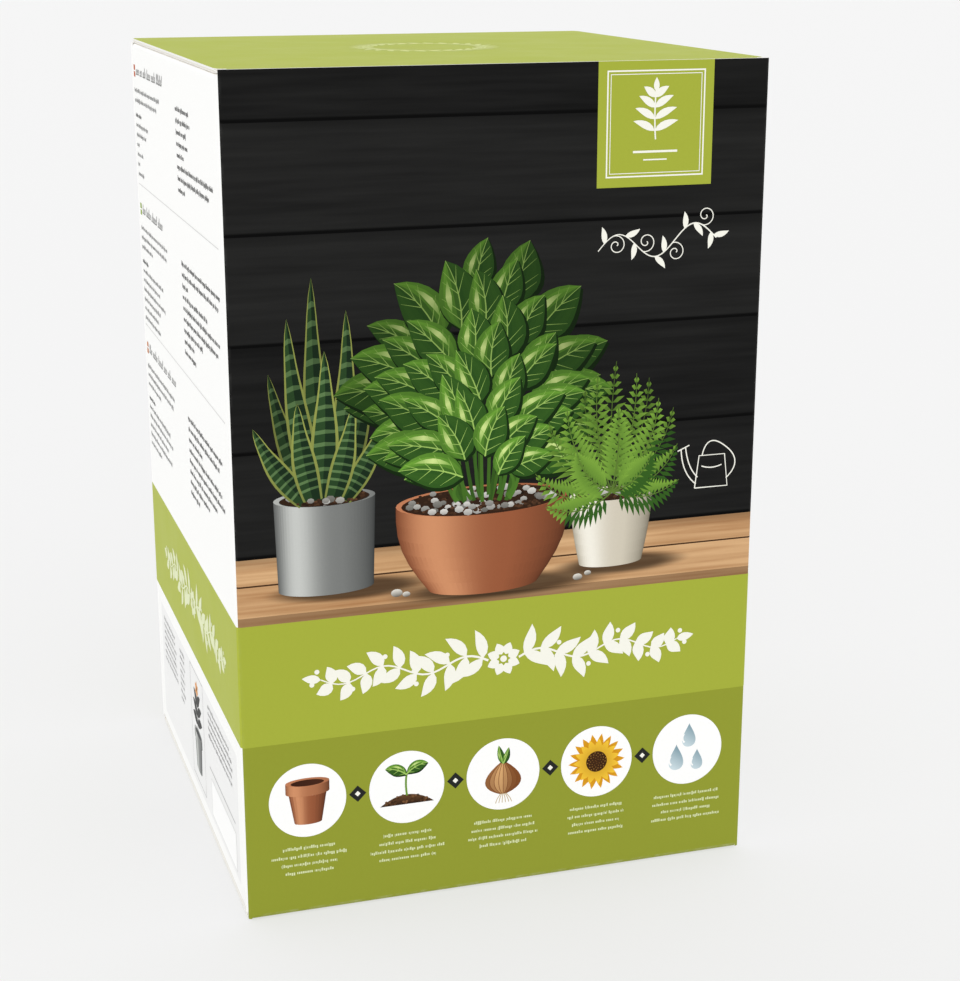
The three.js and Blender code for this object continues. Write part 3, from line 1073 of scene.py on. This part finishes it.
# Middle: a bushy plant with broad glossy leaves in a wide clay bowl, with pebbles round it.
LEAVES = 54
GOLDEN_SHARE = 0.618034
chance = random.Random(21)
picture += pot(BROAD_AT, 122.5, BROAD_RIM, 21, 33, 4.0, CLAY)
picture += soil(BROAD_AT, BROAD_RIM, 30.5, 46, 5)
for number in range(LEAVES):
    depth = 1 - number / (LEAVES - 1)
    spread = math.radians(-88 + 176 * ((number * GOLDEN_SHARE) % 1))
    stem = (9 + 71 * depth**0.8) * (1 - 0.34 * abs(math.sin(spread)))
    heart = (BROAD_AT + 15 * math.sin(spread), BROAD_RIM + 4 + 10 * depth)
    rise = 0.86 * stem * math.cos(spread * 0.72)
    base = (BROAD_AT + (5 + 0.44 * stem) * math.sin(spread), heart[1] + rise)
    length = chance.uniform(22, 31) * (0.82 + 0.18 * depth)
    lean = spread * (1.15 - 0.15 * depth) + chance.uniform(-0.35, 0.35)
    tip = (base[0] + length * math.sin(lean), base[1] + length * 0.86 * math.cos(lean))
    foot_x = BROAD_AT + 9 * math.sin(spread) + chance.uniform(-2, 2)
    foot = (foot_x, BROAD_RIM + 0.5 + chance.uniform(-1.5, 1.5))
    tones = dimmed(BROAD, 0.56 * depth + chance.uniform(-0.05, 0.05))
    if number % 2 == 0:
        stem_line = line_of(foot, heart, base, 6)
        picture += stroke(stem_line, 1.5, blended(tones[0], tones[1], 0.15 + 0.3 * chance.random()), 0.9)
    bend = chance.uniform(0.06, 0.16) * (1 if lean > 0 else -1)
    width = length * chance.uniform(0.50, 0.60)
    picture += leaf(base, tip, width, bend, tones, steps=8 if depth > 0.15 else 10)
picture += soil(BROAD_AT, BROAD_RIM - 3.2, 24, 12, 12, 0.08)[1:]

# Right: a small fern that arches over the rim of a cream pot.
picture += pot(FERN_AT, 126.5, FERN_RIM, 12.5, 16.5, 0.6, CREAM_POT)
picture += soil(FERN_AT, FERN_RIM, 14.6, 8, 7)
for tip_x, tip_z, bend, depth in FRONDS:
    picture += frond((FERN_AT, FERN_RIM + 0.5), (tip_x, tip_z), bend, dimmed(FERN, depth))

# A few pebbles on the table.
PEBBLES = ((-41, 122.6, 2.2), (-37.4, 121.8, 1.5), (29, 121.6, 1.9), (33, 122.8, 1.4))
PEBBLE_TONES = (ink(96, 90, 82), ink(226, 222, 212))
for centre_x, centre_z, radius in PEBBLES:
    pebble = round_shape((centre_x, centre_z), radius, radius * 0.68, 14)
    low, high = (centre_x, centre_z - radius * 0.7), (centre_x - 0.4, centre_z + radius * 0.6)
    picture.append((pebble, low, high, *PEBBLE_TONES))


def ink_material(name, across):
    """Inks laid over a printed face, which share its varnish and its ripples."""

    def paint(tree, x, y, z):
        return node(tree, "Attribute", {}, attribute_name="ink").outputs["Color"]

    return coated_material(name, paint, across)


INKS_X = ink_material("inks_front_and_back", "X")
INKS_Y = ink_material("inks_sides", "Y")


def on_front(s, z):
    return (s * MM, -HALF_DEPTH - INK_LIFT, z * MM)


def on_back(s, z):
    return (-s * MM, HALF_DEPTH + INK_LIFT, z * MM)


def covers(corners, s, z):
    """Whether a shape covers a point."""
    inside = False
    before_s, before_z = corners[-1]
    for after_s, after_z in corners:
        if (after_z > z) != (before_z > z):
            crossing = before_s + (z - before_z) * (after_s - before_s) / (after_z - before_z)
            inside ^= s < crossing
        before_s, before_z = after_s, after_z
    return inside


def lay_inks(shapes):
    """Turns shapes into one film of triangles, with the colours of the last shape laid on there."""
    points = []
    edges = []
    over = {}
    for number, (corners, *_) in enumerate(shapes):
        first = len(points)
        count = len(corners)
        points.extend(Vector(corner) for corner in corners)
        edges.extend((first + index, first + (index + 1) % count) for index in range(count))
        spans = [[math.floor(corner[axis] / CELL) for corner in corners] for axis in (0, 1)]
        for column in range(min(spans[0]), max(spans[0]) + 1):
            for row in range(min(spans[1]), max(spans[1]) + 1):
                over.setdefault((column, row), []).append(number)
    places, _, faces, *_ = delaunay_2d_cdt(points, edges, [], 0, 1e-4, False)
    kept = []
    colours = []
    for face in faces:
        s = sum(places[corner].x for corner in face) / 3
        z = sum(places[corner].y for corner in face) / 3
        cell = (math.floor(s / CELL), math.floor(z / CELL))
        top = next((n for n in reversed(over.get(cell, ())) if covers(shapes[n][0], s, z)), None)
        if top is not None:
            kept.append(face)
            for corner in face:
                colours.extend(shade_at(shapes[top], places[corner]))
    used = sorted({corner for face in kept for corner in face})
    index_of = {corner: index for index, corner in enumerate(used)}
    faces = [[index_of[corner] for corner in face] for face in kept]
    return [places[corner] for corner in used], faces, colours


def print_sheet(name, film, to_space, inks, body):
    places, faces, colours = film
    mesh = bpy.data.meshes.new(name)
    mesh.from_pydata([to_space(*place) for place in places], [], faces)
    mesh.color_attributes.new("ink", "FLOAT_COLOR", "CORNER").data.foreach_set("color", colours)
    mesh.materials.append(inks)
    sheet = placed(name, mesh)
    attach(sheet, body)


def print_on_front_and_back(name, shapes):
    film = lay_inks(shapes)
    print_sheet("ink_front_" + name, film, on_front, INKS_X, "carton")
    print_sheet("ink_back_" + name, film, on_back, INKS_X, "carton")


print_on_front_and_back("plants", picture)

# ------------------------------------------------------------ the tab, the vine and the can
# Cream line work on the green tab and on the dark boards: a framed sprig, a curling vine and the
# outline of a watering can.
CREAM = ink(244, 243, 232)


def frame_lines(left, low, right, high, width, colour):
    """A thin rectangle of lines."""
    return [
        bar(left, low, right, low + width, colour),
        bar(left, high - width, right, high, colour),
        bar(left, low + width, left + width, high - width, colour),
        bar(right - width, low + width, right, high - width, colour),
    ]


def small_leaf(base, tip, width, colour, bend=0.0, steps=6):
    """A leaf in one colour, for line work."""
    line = bowed(base, tip, bend, steps)
    widths = [width * math.sin(math.pi * (step / steps) ** 0.8) ** 0.9 for step in range(steps + 1)]
    edges = both_sides(line, widths)
    return web(edges[0], edges[1], base, tip, colour, colour)


TAB_MIDDLE = 56.1
SPRIG_LEAVES = ((285.5, 8.6, 3.6), (289.6, 8.0, 4.0), (293.6, 6.6, 4.2), (297.2, 4.8, 3.8))
tab = frame_lines(37.4, 269.4, 74.8, 306.8, 0.55, CREAM)
tab += frame_lines(38.7, 270.7, 73.5, 305.5, 0.28, CREAM)
sprig_stem = line_of((TAB_MIDDLE, 282.5), (TAB_MIDDLE - 0.9, 292), (TAB_MIDDLE, 302.0), 8)
tab += stroke(sprig_stem, 0.55, CREAM)
for height, reach, rise in SPRIG_LEAVES:
    for side in (-1, 1):
        root = (TAB_MIDDLE - 0.4, height)
        tip = (TAB_MIDDLE + side * reach, height + rise)
        tab += small_leaf(root, tip, 2.7, CREAM, side * 0.12)
tab += small_leaf((TAB_MIDDLE, 299.2), (TAB_MIDDLE, 304.2), 2.2, CREAM)
tab.append(bar(TAB_MIDDLE - 8.5, 277.9, TAB_MIDDLE + 8.5, 278.7, CREAM))
tab.append(bar(TAB_MIDDLE - 4.5, 275.2, TAB_MIDDLE + 4.5, 275.7, CREAM))


def curl(centre, radius, start, turns, steps=26):
    """Points along a spiral that winds in to its centre."""
    points = []
    for step in range(steps + 1):
        share = step / steps
        angle = math.radians(start + 360 * turns * share)
        points.append(away(centre, angle, radius * (1 - share) ** 0.8 + 0.25))
    return points


VINE_LEAVES = ((2, 1), (9, 1), (12, -1), (19, -1), (22, 1), (29, 1), (32, -1), (38, -1), (39, 1))
VINE_CURLS = ((5, -1), (15, 1), (25, -1), (35, 1))
VINE_STEPS = 40
vine_line = []
for step in range(VINE_STEPS + 1):
    share = step / VINE_STEPS
    across = 35 + 46 * share
    vine_line.append((across, 243.5 + 5 * math.sin(share * 3.1 * math.pi) + 4.5 * share))
tab += stroke(vine_line, 0.35, CREAM, 0.5)
for step, side in VINE_LEAVES:
    root = vine_line[step]
    ahead = vine_line[step + 1]
    angle = math.atan2(ahead[1] - root[1], ahead[0] - root[0]) + side * 0.95
    tab += small_leaf(root, away(root, angle, 6.2), 2.2, CREAM, side * -0.15)
for step, side in VINE_CURLS:
    root = vine_line[step]
    centre = (root[0] + 1.2, root[1] + side * 3.4)
    tab += stroke(curl(centre, 3.4, -110 * side, side * 1.35), 0.36, CREAM)

can_lines = [
    [(75.5, 152), (77.0, 164.5), (87.4, 164.5), (88.9, 152), (75.5, 152)],
    line_of((76.6, 156.2), (72.5, 160), (71.4, 168.0), 10),
    line_of((76.0, 153.6), (70.2, 158), (69.6, 167.3), 10),
    [(68.2, 166.9), (72.9, 168.9)],
    line_of((88.3, 155.0), (96.5, 162.0), (85.6, 168.9), 14),
    line_of((85.6, 168.9), (79.8, 172.4), (78.2, 164.5), 14),
    line_of((78.1, 160.4), (82.2, 158.8), (86.3, 160.4), 10),
]
for line in can_lines:
    tab += stroke(line, 0.45, CREAM)
print_on_front_and_back("tab_and_vine", tab)

# ----------------------------------------------------------------------- the band's garland
# A cream garland of leaf pairs and berries runs across the green band, from a flower in its middle.
BAND_MIDDLE = 92.3
GARLAND_PAIRS = 10
GARLAND_PETALS = 8


def garland_shapes(middle, height, half, colour, size):
    """Leaves in pairs along a gently waving stem, both ways from a flower."""
    shapes = []
    for way in (-1, 1):
        stem = []
        for step in range(3 * GARLAND_PAIRS + 1):
            share = step / (3 * GARLAND_PAIRS)
            across = middle + way * (6 * size + (half - 6 * size) * share)
            stem.append((across, height + 2.6 * size * math.sin(share * 4 * math.pi)))
        shapes += stroke(stem, 0.9 * size, colour, 0.45 * size)
        for pair in range(1, GARLAND_PAIRS + 1):
            root = stem[pair * 3 - 2]
            ahead = stem[pair * 3 - 1]
            angle = math.atan2(ahead[1] - root[1], ahead[0] - root[0])
            length = (12.5 - 0.55 * pair) * size
            for side in (-1, 1):
                tip = away(root, angle + side * 0.92, length)
                shapes += small_leaf(root, tip, 4.6 * size, colour, -side * way * 0.16)
                if pair % 2 == 0:
                    berry = away(root, angle + side * 0.35, 7.6 * size)
                    shapes.append(flat(round_shape(berry, 0.95 * size, 0.95 * size, 12), colour))
        end = stem[-1]
        shapes += small_leaf(end, (end[0] + way * 7 * size, end[1] + 1.2), 3.4 * size, colour)
    flower = (middle, height)
    for petal in range(GARLAND_PETALS):
        angle = 2 * math.pi * (petal + 0.5) / GARLAND_PETALS
        root = away(flower, angle, 1.9 * size)
        shapes += small_leaf(root, away(flower, angle, 6.8 * size), 3.9 * size, colour)
    shapes.append(flat(round_shape(flower, 1.3 * size, 1.3 * size, 16), colour))
    return shapes


print_on_front_and_back("garland", garland_shapes(0, BAND_MIDDLE, 70, CREAM, 1.0))

# --------------------------------------------------------------- the olive band's five discs
# White discs with things for a garden: a clay pot, a seedling, a bulb, a flower head and drops of
# water. Small dark diamonds stand between them and short pale lines below.
DISC_HEIGHT = 45.4
DISC_RADIUS = 14.6
DISC_PLACES = (-76, -38, 0, 38, 76)
at_pot, at_seedling, at_bulb, at_flower, at_drops = DISC_PLACES
WHITE = ink(252, 252, 251)
CHARCOAL = ink(38, 40, 38)
EARTH = (ink(44, 29, 19), ink(112, 78, 50))
SHOOT_GREEN = ink(112, 150, 60)
discs = []
for place in DISC_PLACES:
    discs.append(flat(round_shape((place, DISC_HEIGHT), DISC_RADIUS, DISC_RADIUS, 72), WHITE))
for before, after in zip(DISC_PLACES, DISC_PLACES[1:]):
    centre = ((before + after) / 2, DISC_HEIGHT)
    discs.append(flat(round_shape(centre, 3.3, 3.3, 4), CHARCOAL))
    discs.append(flat(round_shape(centre, 1.1, 1.1, 4), CREAM))

# The clay pot, with its thick rim.
discs += pot(at_pot, 36.8, 48.5, 5.2, 7.2, 0, CLAY, 0.2, 14)
rim_tones = (CLAY[0], blended(CLAY[1], CLAY[2], 0.3), CLAY[2], CLAY[3])
discs += pot(at_pot, 48.8, 52.8, 8.3, 8.3, 0, rim_tones, 0.2, 14)

# The seedling, in a mound of earth.
MOUND_HALF = 10.5
MOUND_FOOT = 38.5
mound_ends = [(at_seedling + side * MOUND_HALF, MOUND_FOOT) for side in (-1, 1)]
mound = line_of(mound_ends[0], (at_seedling, 46.5), mound_ends[1], 14)
discs.append((mound, (at_seedling, MOUND_FOOT), (at_seedling, 43.5), *EARTH))
chance = random.Random(4)
for _ in range(46):
    across = chance.uniform(-9, 9)
    up = chance.uniform(0, 3.6 * (1 - (across / MOUND_HALF) ** 2))
    crumb = round_shape((at_seedling + across, MOUND_FOOT + 0.3 + up), 0.55, 0.45, 6)
    discs.append(flat(crumb, blended(*EARTH, chance.uniform(0.1, 1.2))))
stem_line = line_of((at_seedling, 42), (at_seedling - 0.8, 47), (at_seedling, 51), 8)
discs += stroke(stem_line, 0.8, SHOOT_GREEN)
discs += leaf((at_seedling, 50.4), (at_seedling - 8.4, 53.6), 4.6, -0.2, BROAD, 0.5, 3)
discs += leaf((at_seedling, 50.8), (at_seedling + 8.2, 54.4), 4.6, 0.2, BROAD, 0.5, 3)

# The bulb, with papery stripes, roots and a shoot.
BULB_WALL = ((1.2, 37.2), (13.5, 41.5), (0.8, 50.6))
BULB_ROOT = ((0.6, 37.4), (1.6, 35.6), (1.9, 33.6))
BULB_TONES = (ink(132, 78, 40), ink(226, 176, 120))
BULB_SHADE = ink(90, 50, 26)
BULB_LINE = ink(120, 72, 40)
ROOT_TONE = ink(196, 176, 140)
bulb_lines = []
for step in range(9):
    share = step / 4 - 1
    low, side, top = [(at_bulb + share * half, up) for half, up in BULB_WALL]
    bulb_lines.append(line_of(low, side, top, 10))
for step, (line, further) in enumerate(zip(bulb_lines, bulb_lines[1:])):
    tone = blended(*BULB_TONES, math.exp(-((step - 2.6) ** 2) / 4))
    discs += web(line, further, line[0], line[-1], blended(tone, BULB_SHADE, 0.35), tone)
for line in bulb_lines[1:-1]:
    discs += stroke(line, 0.22, BULB_LINE)
for spread in (-1.6, -0.9, -0.2, 0.5, 1.2, 1.8):
    top, side, end = [(at_bulb + spread * out, up) for out, up in BULB_ROOT]
    discs += stroke(line_of(top, side, end, 5), 0.32, ROOT_TONE)
discs += leaf((at_bulb, 49.8), (at_bulb - 1.8, 57.4), 2.6, 0.05, BROAD, 0.4, 0)
discs += leaf((at_bulb, 49.8), (at_bulb + 2.2, 56.2), 2.4, -0.08, BROAD, 0.4, 0)

# The flower head, with yellow petals in two rows.
PETAL_ROWS = ((18, 11.6, ink(222, 158, 32)), (15, 9.6, ink(246, 200, 60)))
PETAL_SHADE = ink(150, 84, 14)
HEART_TONE = ink(62, 38, 20)
SEEDS = 44
SEED_TURN = math.radians(137.508)
SEED_TONES = (ink(96, 62, 30), ink(170, 124, 56))
flower = (at_flower, DISC_HEIGHT)
for row, (count, reach, tone) in enumerate(PETAL_ROWS):
    for petal in range(count):
        angle = 2 * math.pi * (petal + row * 0.5) / count
        root = away(flower, angle, 3)
        tip = away(flower, angle, reach)
        for shape in small_leaf(root, tip, 3.1, tone):
            discs.append((shape[0], root, tip, blended(tone, PETAL_SHADE, 0.45), tone))
discs.append(flat(round_shape(flower, 4.3, 4.3, 28), HEART_TONE))
for seed in range(SEEDS):
    centre = away(flower, seed * SEED_TURN, 0.6 * math.sqrt(seed))
    tone = blended(*SEED_TONES, seed / SEEDS)
    discs.append(flat(round_shape(centre, 0.26, 0.26, 5), tone))

# The drops of water: off the disc's middle, up and in size.
DROPS = ((-4.6, 42.6, 1.0), (4.2, 40.8, 0.8), (0.6, 51.4, 0.92))
DROP_STEPS = 30
DROP_TONES = (ink(206, 222, 228), ink(108, 142, 156))
for off_x, centre_z, size in DROPS:
    centre_x = at_drops + off_x
    drop = []
    for step in range(DROP_STEPS):
        angle = 2 * math.pi * step / DROP_STEPS
        across = 4.4 * size * math.sin(angle) * math.sin(angle / 2) ** 1.5
        drop.append((centre_x + across, centre_z + 5.4 * size * math.cos(angle)))
    low, high = (centre_x - 3, centre_z - 4), (centre_x + 3, centre_z + 4)
    discs.append((drop, low, high, *DROP_TONES))
    shine = line_of(
        (centre_x - 2.0 * size, centre_z - 3.2 * size),
        (centre_x - 3.6 * size, centre_z - 1.6 * size),
        (centre_x - 2.1 * size, centre_z + 0.6 * size),
        6,
    )
    discs += stroke(shine, 0.8 * size, WHITE, 0.3 * size)


def fine_row(left, right, height, size, colour, chance, centred=False):
    """A row of little blocks and ticks in groups."""
    blocks = []
    across = left
    while across < right - size:
        group_end = min(across + chance.uniform(2.2, 8) * size, right)
        while across < group_end:
            width = chance.choice((0.22, 0.5, 0.6, 0.7)) * size
            rise = chance.choice((0, 0, 0, 0.45)) * size
            sink = chance.choice((0, 0, 0, 0, 0, 0.4)) * size
            blocks.append((across, across + width, height - size / 2 - sink, height + size / 2 + rise))
            across += width + 0.24 * size
        across += 0.6 * size
    shift = (right - blocks[-1][1]) / 2 if centred else 0
    return [bar(start + shift, low, end + shift, high, colour) for start, end, low, high in blocks]


chance = random.Random(8)
CAPTION = ink(216, 224, 172)
CAPTION_TOP = 26.4
CAPTION_PITCH = 3.3
CAPTION_ROWS = 4
for place in DISC_PLACES:
    for row in range(CAPTION_ROWS):
        half = chance.uniform(8.5, 14.5)
        height = CAPTION_TOP - CAPTION_PITCH * row
        discs += fine_row(place - half, place + half, height, 0.86, CAPTION, chance, True)
print_on_front_and_back("discs", discs)

# ----------------------------------------------------------------------- the sides' columns
# Each white side has three blocks of fine rows in two columns under a pen's flourish, a pale garland
# in its band and, in the grey field, short columns, a drawn pot plant in a frame and a white box.
PRINT_GREY = ink(162, 162, 161)
PRINT_DARK = ink(114, 114, 113)
FIELD_GREY = ink(172, 172, 171)
PEN_GREY = ink(108, 108, 106)
BAND_PALE = ink(226, 232, 190)
RULE = ink(214, 214, 212)
RULE_HEIGHTS = (249.5, 188.5)
LEFT_COLUMN = -94
RIGHT_COLUMN = 11
LOOP_PITCH = 2.1
LOOP_STEPS = 12


def pen_loops(left, right, height, colour, chance):
    """Slanting loops of a pen in groups, like a flourish, over and over."""
    shapes = []
    across = left
    while across < right - 4 * LOOP_PITCH:
        line = []
        loops = chance.randint(3, 7)
        for loop in range(loops):
            rise = chance.choice((2.1, 2.3, 2.3, 4.0))
            for step in range(LOOP_STEPS):
                turn = 2 * math.pi * step / LOOP_STEPS
                lift = rise * (1 - math.cos(turn)) / 2
                run = LOOP_PITCH * (loop + step / LOOP_STEPS) + 0.8 * math.sin(turn) + 0.35 * lift
                line.append((across + run, height - 1.2 + lift))
        shapes += stroke(line, 0.42, colour)
        across += LOOP_PITCH * (loops + 1)
    return shapes


# Each block: its height, the end of its flourish, the colour of its mark, and how far the rows of
# both columns reach. Below 0 a row is darker, and 0 is a gap.
BLOCKS = (
    (
        297,
        -12,
        ink(192, 88, 34),
        (66, 58, 0, -16, 34, 26, 7, 15, 6, 16),
        (29, 31, 22, 24, 15, 74, 66, 17),
    ),
    (
        239,
        -24,
        ink(140, 168, 44),
        (70, 68, 30, 0, -16, 54, 46, 58, 44, 38, 42),
        (79, 76, 12, 54, 76, 73, 40, 22, 24),
    ),
    (
        178.5,
        -12,
        ink(196, 108, 26),
        (72, 68, 34, 0, -18, 56, 62, 50, 58, 30),
        (72, 66, 30, 70, 74, 60, 42, 20),
    ),
)
MARK_WIDTH = 4.0
MARK_HEIGHT = 2.2
LEFT_PITCH = 4.1
LEFT_GAP = 2.2
RIGHT_PITCH = 4.3
chance = random.Random(15)
side_inks = []
for header, heading_end, mark, left_rows, right_rows in BLOCKS:
    for low in (header - 2.4, header + 0.4):
        side_inks.append(bar(LEFT_COLUMN, low, LEFT_COLUMN + MARK_WIDTH, low + MARK_HEIGHT, mark))
    side_inks += pen_loops(-88, heading_end, header, PEN_GREY, chance)
    height = header - 8
    for reach in left_rows:
        tone = PRINT_DARK if reach < 0 else PRINT_GREY
        if reach:
            end = LEFT_COLUMN + abs(reach)
            side_inks += fine_row(LEFT_COLUMN, end, height, 1.2, tone, chance)
        height -= LEFT_PITCH if reach else LEFT_GAP
    height = header - 7
    for reach in right_rows:
        side_inks += fine_row(RIGHT_COLUMN, RIGHT_COLUMN + reach, height, 1.3, PRINT_DARK, chance)
        height -= RIGHT_PITCH
for height in RULE_HEIGHTS:
    side_inks.append(bar(-95, height, 92, height + 0.35, RULE))


def on_left(s, z):
    return (-HALF_WIDTH - INK_LIFT, -s * MM, z * MM)


def on_right(s, z):
    return (HALF_WIDTH + INK_LIFT, s * MM, z * MM)


def print_on_sides(name, shapes):
    film = lay_inks(shapes)
    print_sheet("ink_left_" + name, film, on_left, INKS_Y, "carton")
    print_sheet("ink_right_" + name, film, on_right, INKS_Y, "carton")


print_on_sides("columns", side_inks)
print_on_sides("garland", garland_shapes(3, BAND_MIDDLE, 66, BAND_PALE, 0.95))

FIELD_COLUMNS = ((-82, -48, 57, 36, 0.9), (-40, -27, 57, 34, 0.9), (28, 80, 57.5, 43, 1.0))
FIELD_PITCH = 3.1
field = []
for left, right, top, foot, thick in FIELD_COLUMNS:
    height = top
    while height > foot:
        field += fine_row(left, right - chance.uniform(0, 6), height, thick, FIELD_GREY, chance)
        height -= FIELD_PITCH
field.append(bar(28, 31.0, 82, 31.5, FIELD_GREY))
field += frame_lines(31, 11.5, 83, 27.5, 0.35, RULE)
field.append(bar(31.35, 11.85, 82.65, 27.15, WHITE))
field += frame_lines(-13, 12.5, 17, 61.5, 0.3, FIELD_GREY)

# The drawing, in greys but for its bloom: a potted plant with three pairs of leaves.
DRAWN_AT = 2
DRAWN_LEAVES = ((38.6, 10.4, 3.0), (42.4, 9.6, 5.2), (46.6, 7.4, 6.4))
BLOOM = (DRAWN_AT, 54.6)
BLOOM_TONE = ink(226, 150, 62)
field += pot(DRAWN_AT, 18.5, 31.0, 5.8, 7.6, 0, STONEWARE, 0.2, 14)
field += pot(DRAWN_AT, 31.3, 35.0, 8.8, 8.8, 0, STONEWARE, 0.2, 14)
field += stroke(line_of((DRAWN_AT, 34.6), (DRAWN_AT - 1, 44), BLOOM, 10), 0.7, CHARCOAL)
for root_z, reach, rise in DRAWN_LEAVES:
    for side in (-1, 1):
        root = (DRAWN_AT - 0.4, root_z)
        field += small_leaf(root, (DRAWN_AT + side * reach, root_z + rise), 4.2, CHARCOAL, side * 0.16)
for petal in range(6):
    angle = math.pi / 3 * (petal + 0.5)
    field += small_leaf(away(BLOOM, angle, 0.6), away(BLOOM, angle, 3.6), 2.0, BLOOM_TONE)
field.append(flat(round_shape(BLOOM, 0.8, 0.8, 12), CHARCOAL))
print_on_sides("field", field)

# --------------------------------------------------------------------------- the lid's wreath
# A faint pale wreath of leaves is printed in the middle of the green lid.
WREATH_RADIUS = 24
RING_STEPS = 60
WREATH_LEAVES = 28
WREATH_PALE = ink(200, 209, 124)
ring = round_shape((0, 0), WREATH_RADIUS, WREATH_RADIUS, RING_STEPS)
wreath = stroke(ring + ring[:1], 0.6, WREATH_PALE)
for number in range(WREATH_LEAVES):
    angle = 2 * math.pi * number / WREATH_LEAVES
    root = away((0, 0), angle, WREATH_RADIUS)
    for side in (-1, 1):
        tip = away(root, angle + math.pi / 2 + side * 0.75, 7.5)
        wreath += small_leaf(root, tip, 2.6, WREATH_PALE, -side * 0.14)


def on_lid(s, t):
    return (s * MM, t * MM, HEIGHT + INK_LIFT)


print_sheet("ink_lid_wreath", lay_inks(wreath), on_lid, INKS_X, "lid")
